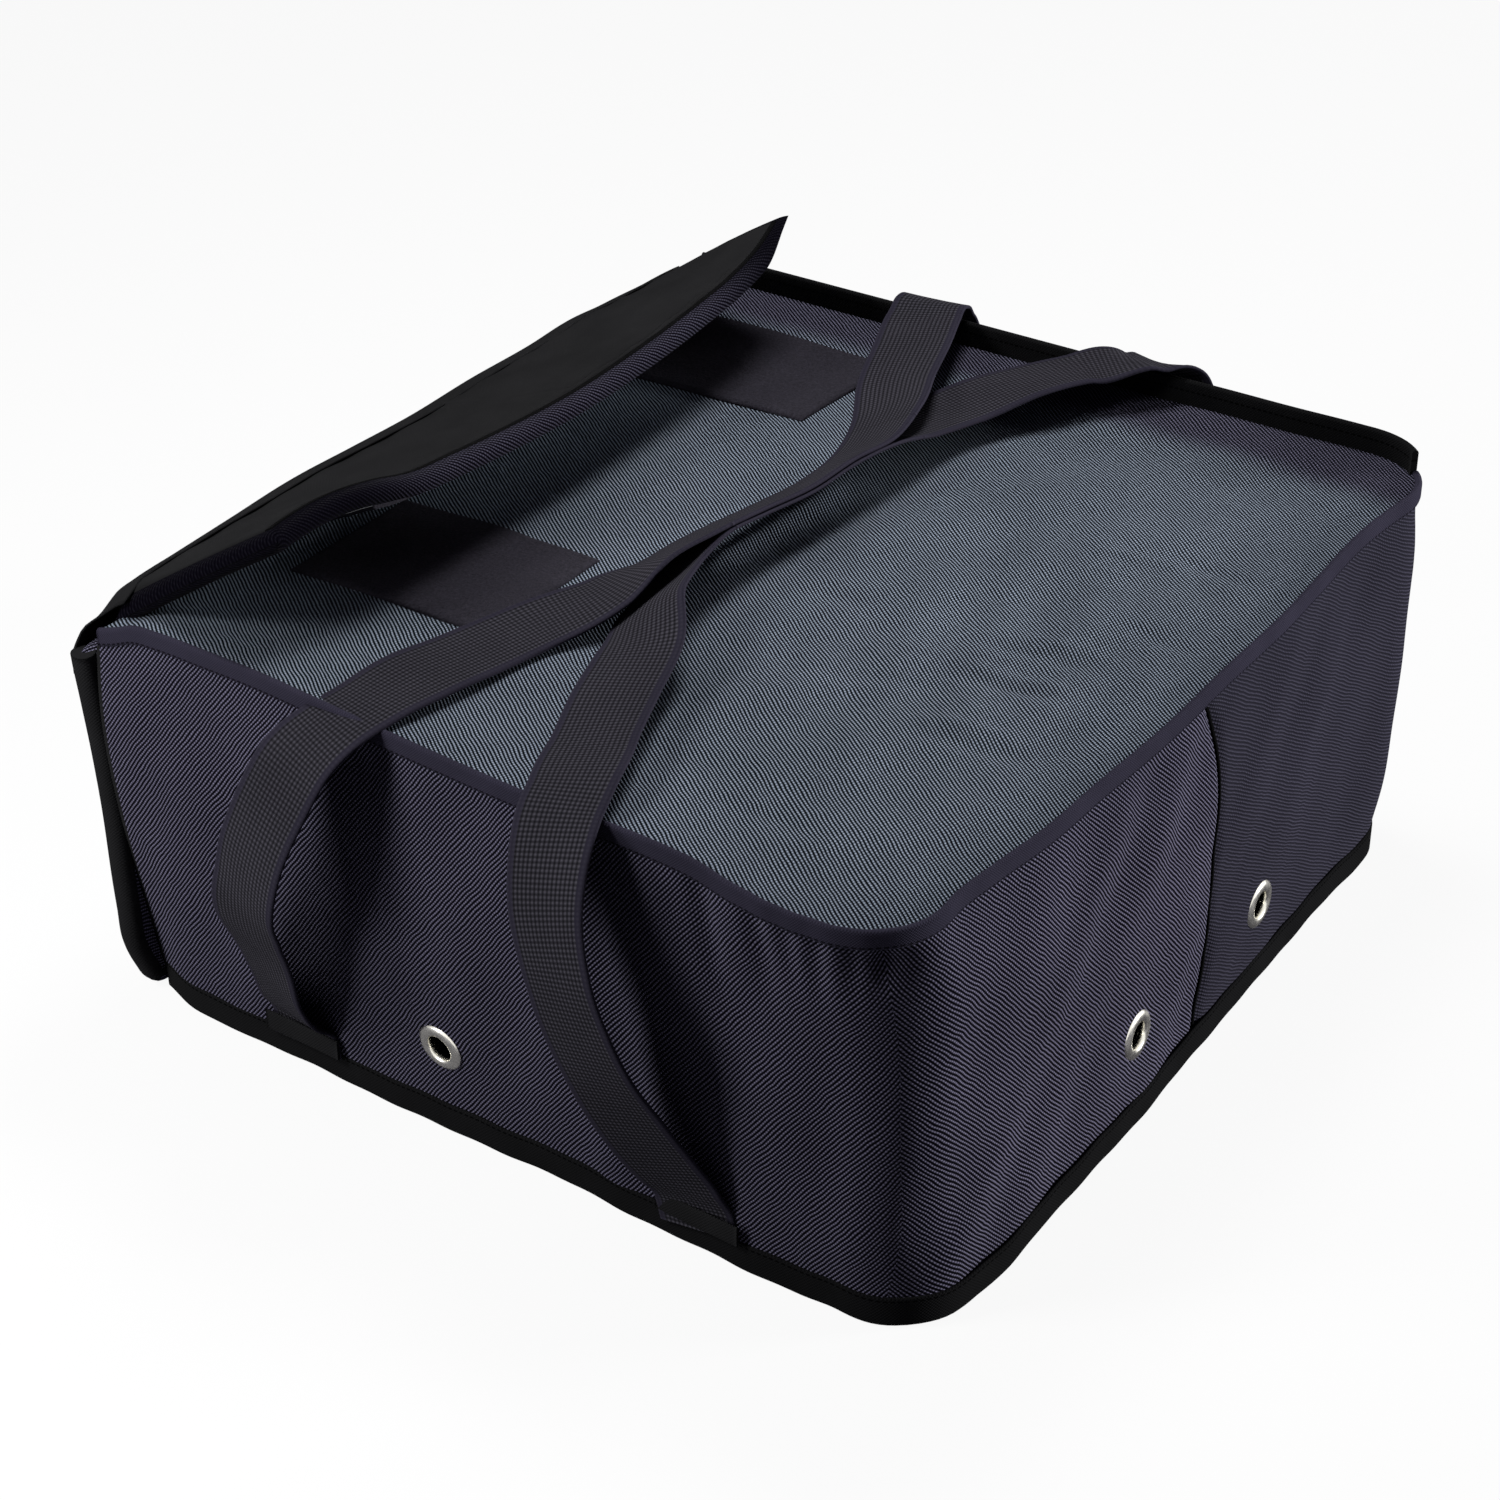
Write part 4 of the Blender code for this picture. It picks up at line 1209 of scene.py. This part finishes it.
# Key points of each strap from its front foot over the bag to its rear foot, in millimetres and
# degrees: x, y, z, tilt about the run, and yaw. The first and last two lie on the wall.
STRAPS = {
    "left_strap": np.array([
        (-106, -222, 13, 0, 0), (-106, -226, 26, 0, -4), (-106, -233, 38, 0, -11), (-105, -241, 55, 0, -16),
        (-101, -252, 81, 0, -11), (-95, -265, 108, 0, -7), (-88, -272, 131, 0, -13), (-82, -272, 153, 0, -10),
        (-76, -263, 176, 0, -6), (-70, -250, 195, 0, -5), (-64, -235, 204, 1, -8), (-60, -220, 207, 2, -2),
        (-56, -190, 208, -4, 0), (-51, -160, 206, -2, 0), (-42, -128, 207, 2, 0), (-25, -98, 214, 15, 0),
        (-16, -74, 222, 33, 0), (-10, -50, 225, 32, 0), (-9, -20, 222, 31, 0), (-6, 15, 219, 31, 0),
        (-4, 50, 218, 35, 0), (-4, 82, 217, 29, 0), (-11, 112, 219, 24, 0), (-29, 150, 219, 11, 0),
        (-42, 185, 220, 6, 0), (-52, 212, 222, 4, 0), (-55, 224, 224, 4, 0), (-56, 231, 222, 3, 0),
        (-56, 236, 216, 2, 0), (-54, 240, 206, 0, 0), (-60, 249, 182, 0, 0), (-72, 259, 150, 0, 0),
        (-86, 261, 118, 0, 0), (-98, 252, 84, 0, 0), (-104, 239, 50, 0, 0), (-106, 228, 26, 0, 0),
        (-106, 222, 13, 0, 0),
    ]),
    "right_strap": np.array([
        (115, -228, 13, 0, 0), (113, -232, 26, 0, 4), (110, -235, 38, 0, 9), (104, -243, 55, 0, 11),
        (96, -254, 81, 0, 8), (88, -263, 108, 0, 0), (81, -267, 131, 0, -4), (74, -267, 153, 0, -8),
        (65, -260, 176, 0, -9), (58, -246, 195, 0, -8), (54, -235, 203, 0, -8), (50, -220, 209, 6, -1),
        (38, -190, 209, 10, 0), (27, -160, 212, 7, 0), (17, -128, 216, 12, 0), (1, -98, 218, 34, 0),
        (-5, -74, 218, 38, 0), (-8, -50, 223, 32, 0), (-8, -20, 220, 31, 0), (-5, 15, 217, 31, 0),
        (-3, 50, 216, 35, 0), (-2, 82, 215, 28, 0), (-1, 112, 214, 9, 0), (7, 145, 214, 3, 0),
        (23, 178, 218, 7, 0), (42, 206, 220, 7, 0), (64, 226, 222, 4, 0), (71, 234, 219, -2, 0),
        (76, 239, 213, 2, 0), (80, 242, 203, 0, 0), (88, 250, 180, 0, 0), (95, 259, 150, 0, 0),
        (103, 261, 118, 0, 0), (110, 252, 84, 0, 0), (114, 240, 50, 0, 0), (115, 229, 26, 0, 0),
        (115, 228, 13, 0, 0),
    ]),
}


def strap_path(keys, count):
    """Points, tilt and yaw along a strap, smooth through its keys, with its feet on the walls."""
    keys = keys * np.array((MM, MM, MM, math.pi / 180, math.pi / 180))
    for row, side in ((0, -1), (1, -1), (-2, 1), (-1, 1)):
        s = keys[row, 0] - MOUTH
        face = wall(s if side < 0 else WAY - s, keys[row, 2])
        keys[row, 1] = face[1] + side * 0.0016
    places = np.concatenate([[0], np.cumsum(np.linalg.norm(np.diff(keys[:, :3], axis=0), axis=1))])
    s = np.linspace(0, places[-1], count)
    return np.stack([through(s, places, keys[:, k]) for k in range(5)], -1)


def strap_frames(path):
    """Direction across and off the strap at each point, from its tilt, its yaw and its run."""
    ahead = heading(path[:, :3])
    tilt, yaw = path[:, 3], path[:, 4]
    across = stack(np.cos(tilt) * np.cos(yaw), np.sin(yaw), np.sin(tilt) * np.cos(yaw))
    across = unit(across - ahead * (across * ahead).sum(1, keepdims=True))
    return across, unit(np.cross(across, ahead))


class BAG_OT_straps(bpy.types.Operator):
    """Sew on the two carrying straps"""

    bl_idname = "pizza_bag.straps"
    bl_label = "Straps"

    def execute(self, context):
        """Flat webbing carried along each strap's path, cut at the two ends of the grip."""
        made = materials()
        profile = flat_profile(WEB_WIDTH, WEB_THICK, 10, 4)
        for name, keys in STRAPS.items():
            path = strap_path(keys, 560)
            across, off = strap_frames(path)
            first = int(np.argmax(path[:, 1] > GRIP_FRONT))
            last = int(np.argmax(path[:, 1] > GRIP_BACK))
            ends = (("front", 0, first), ("grip", first, last), ("back", last, len(path) - 1))
            for part, low, high in ends:
                rows = slice(low, high + 1)
                piece = sweep(f"{name}_{part}_web", path[rows, :3], across[rows], off[rows], profile,
                              made["webbing"])
                if part == "grip":
                    placed(piece, "handle", "strap_webbing", f"{name}_grip")
                    continue
                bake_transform(piece)
                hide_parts(f"{name}_{part}")
        return {"FINISHED"}


class BAG_OT_tabs(bpy.types.Operator):
    """Sew the tabs over the feet of the straps"""

    bl_idname = "pizza_bag.tabs"
    bl_label = "Strap tabs"

    def execute(self, context):
        """Flat tape over each strap's foot, following the wall."""
        for name, keys in STRAPS.items():
            for part in ("front", "back"):
                s = np.linspace(-0.5, 0.5, 24) * (WEB_WIDTH + 0.003) + (keys[0, 0] * MM - MOUTH)
                if part == "back":
                    s = WAY - s[::-1]
                piece = wall_strip(f"{name}_{part}_foot_tab", s, 0.0205, 0.0036,
                                   flat_profile(0.0105, 0.0014, 3, 4), materials()["tape"])
                placed(piece, "bag", "black_tape", f"{name}_{part}_tab")
        return {"FINISHED"}


class BAG_OT_eyelets(bpy.types.Operator):
    """Set the eyelets"""

    bl_idname = "pizza_bag.eyelets"
    bl_label = "Eyelets"

    def execute(self, context):
        """A pressed profile turned round each eyelet's axis, which stands square on the wall."""
        # Radius and height over the wall of each profile, in millimetres
        ring = np.array([
            (6.4, -1.0), (6.5, 0.7), (6.9, 1.3), (8.2, 1.7), (9.8, 1.5), (11.2, 1.0), (12.0, 0.3),
            (11.8, -0.4), (11.0, -0.6), (7.6, -0.6), (7.4, -8.6), (6.5, -8.6),
        ]) * MM
        washer = np.array([
            (6.2, -9.4), (6.2, -10.2), (9.0, -10.6), (13.0, -9.9), (13.0, -9.2), (8.0, -9.2),
        ]) * MM
        for name, s, z in eyelet_places():
            centre, axis = wall(s, z), wall_normal(s, z)
            for label, profile, node_name in (("", ring, name), ("_back", washer, name + "_washer")):
                piece = self.turned("plated_" + name + label, centre, axis, profile)
                placed(piece, "bag", "nickel", node_name)
        return {"FINISHED"}

    @staticmethod
    def turned(name, centre, axis, profile):
        """A closed profile turned round an axis: centre + radius * spoke + height * axis."""
        first = unit(np.cross(axis, (0, 0, 1.0)))
        second = np.cross(axis, first)
        turn = np.linspace(0, TAU, 48, endpoint=False)[:, None, None]
        spoke = first * np.cos(turn) + second * np.sin(turn)
        points = centre + spoke * profile[None, :, :1] + axis * profile[None, :, 1:]
        rows, columns = points.shape[:2]
        faces = quads(rows, columns, True, True)
        piece = mesh_object(name, points.reshape(-1, 3), faces, materials()["nickel"])
        piece.data.materials.append(materials()["bore"])
        # The inner face of each turned profile takes the bore's painted shade
        bore = np.arange(len(faces)) % columns == columns - 1
        piece.data.polygons.foreach_set("material_index", bore.astype(np.int32))
        return piece


class BAG_OT_stage(bpy.types.Operator):
    """Set the floor, the lamps and the camera"""

    bl_idname = "pizza_bag.stage"
    bl_label = "Stage"

    def execute(self, context):
        """A white floor, soft lamps, and the camera at the photograph's angle."""
        scene = context.scene
        scene.view_settings.view_transform = "Standard"
        self.floor()
        self.world(scene)
        for name, place, aim, size, power in (
                ("key_lamp", (-0.10, 0.22, 1.0), (0.02, 0.05, 0.15), (0.30, 0.30), 6.3),
                ("front_lamp", (-0.45, -0.78, 0.78), (-0.05, -0.15, 0.15), (0.25, 0.25), 5.3),
                ("side_lamp", (-0.44, -0.90, 0.24), (-0.05, -0.2, 0.1), (0.26, 0.20), 3.0),
                ("end_lamp", (2.3, 1.75, 0.4), (0.2, 0, 0.1), (0.60, 0.50), 112)):
            self.lamp(scene, name, place, aim, size, power)
        self.camera(scene)
        return {"FINISHED"}

    @staticmethod
    def floor():
        """A level floor, white where the camera sees it and shaded under the bag."""
        material = bpy.data.materials.new("white_floor")
        tree = empty_tree(material)
        seen = node(tree, "LightPath", out="Is Camera Ray")
        hue = node(tree, "Mix", seen, named={6: (0.25, 0.25, 0.27, 1), 7: (0.9, 0.9, 0.9, 1)}, **COLOUR_MIX)
        share = node(tree, "Math", seen, 0.92, operation="MULTIPLY")
        glow = node(tree, "Emission", (1, 1, 1, 1), 1.0)
        node(tree, "OutputMaterial", node(tree, "MixShader", share, node(tree, "BsdfDiffuse", hue), glow))
        x, y = np.meshgrid(*[np.linspace(-6, 6, 13)] * 2, indexing="ij")
        floor = mesh_object("floor", stack(x, y, -0.0004).reshape(-1, 3), quads(13, 13), material)

    @staticmethod
    def world(scene):
        """Soft light from all round, and plain white where the camera looks past the floor."""
        scene.world = bpy.data.worlds.new("studio")
        tree = empty_tree(scene.world)
        rays = (node(tree, "LightPath", out=ray) for ray in ("Is Camera Ray", "Is Glossy Ray"))
        seen = node(tree, "Math", *rays, operation="MAXIMUM")
        strength = node(tree, "Math", seen, 0.91, 0.09, operation="MULTIPLY_ADD")
        tint = node(tree, "Mix", seen, named={6: (0.92, 0.86, 1.0, 1), 7: (1, 1, 1, 1)}, **COLOUR_MIX)
        node(tree, "OutputWorld", node(tree, "Background", tint, strength))

    @staticmethod
    def lamp(scene, name, place, aim, size, power):
        """A rectangular soft lamp that looks at a point."""
        data = bpy.data.lights.new(name, "AREA")
        data.shape = "RECTANGLE"
        data.size, data.size_y = size
        data.energy = power
        thing = bpy.data.objects.new(name, data)
        scene.collection.objects.link(thing)
        thing.location = place
        thing.rotation_euler = (Vector(place) - Vector(aim)).to_track_quat("Z", "Y").to_euler()

    @staticmethod
    def camera(scene):
        """The photograph's view: 34.46 degrees round, 32.18 up, rolled by -0.3, 1.5755 m away."""
        azimuth, height, roll = (math.radians(a) for a in (34.46, 32.18, -0.30))
        distance = 1.5755
        target = np.array((-0.0152, 0.0009, 0.0860))
        level = math.cos(height)
        back = np.array((math.sin(azimuth) * level, -math.cos(azimuth) * level, math.sin(height)))
        right = unit(np.cross(-back, (0, 0, 1.0)))
        up = np.cross(right, -back)
        c, s = math.cos(roll), math.sin(roll)
        right, up = c * right + s * up, c * up - s * right
        data = bpy.data.cameras.new("camera")
        data.sensor_width = 36
        data.lens = 79.2
        data.clip_end = 50
        thing = bpy.data.objects.new("camera", data)
        scene.collection.objects.link(thing)
        turn = np.eye(4)
        turn[:3, 0], turn[:3, 1], turn[:3, 2] = right, up, back
        turn[:3, 3] = target + back * distance
        thing.matrix_world = Matrix(turn.tolist())
        scene.camera = thing


STEPS = (
    BAG_OT_walls, BAG_OT_top, BAG_OT_base, BAG_OT_lining, BAG_OT_tapes, BAG_OT_mouth, BAG_OT_cover,
    BAG_OT_flap, BAG_OT_fold, BAG_OT_fasteners, BAG_OT_straps, BAG_OT_tabs, BAG_OT_eyelets, BAG_OT_stage,
)


class BAG_PT_panel(bpy.types.Panel):
    """Buttons for every piece of the bag"""

    bl_idname = "BAG_PT_panel"
    bl_label = "Pizza delivery bag"
    bl_space_type = "VIEW_3D"
    bl_region_type = "UI"
    bl_category = "Pizza bag"

    def draw(self, context):
        """List the sizes, the colours and the steps."""
        for group in (context.scene.bag_sizes, context.scene.bag_colours):
            for name in group.__annotations__:
                self.layout.prop(group, name)
        for step in STEPS:
            self.layout.operator(step.bl_idname)


CLASSES = (BagSizes, BagColours, *STEPS, BAG_PT_panel)


def register():
    """Register the classes and hang the settings on the scene."""
    for item in CLASSES:
        bpy.utils.register_class(item)
    bpy.types.Scene.bag_sizes = PointerProperty(type=BagSizes)
    bpy.types.Scene.bag_colours = PointerProperty(type=BagColours)


def unregister():
    """Take the settings off the scene and the classes out of the program."""
    del bpy.types.Scene.bag_colours
    del bpy.types.Scene.bag_sizes
    for item in reversed(CLASSES):
        bpy.utils.unregister_class(item)


def main():
    register()
    for step in STEPS:
        group, name = step.bl_idname.split(".")
        getattr(getattr(bpy.ops, group), name)()


if __name__ == "__main__":
    main()
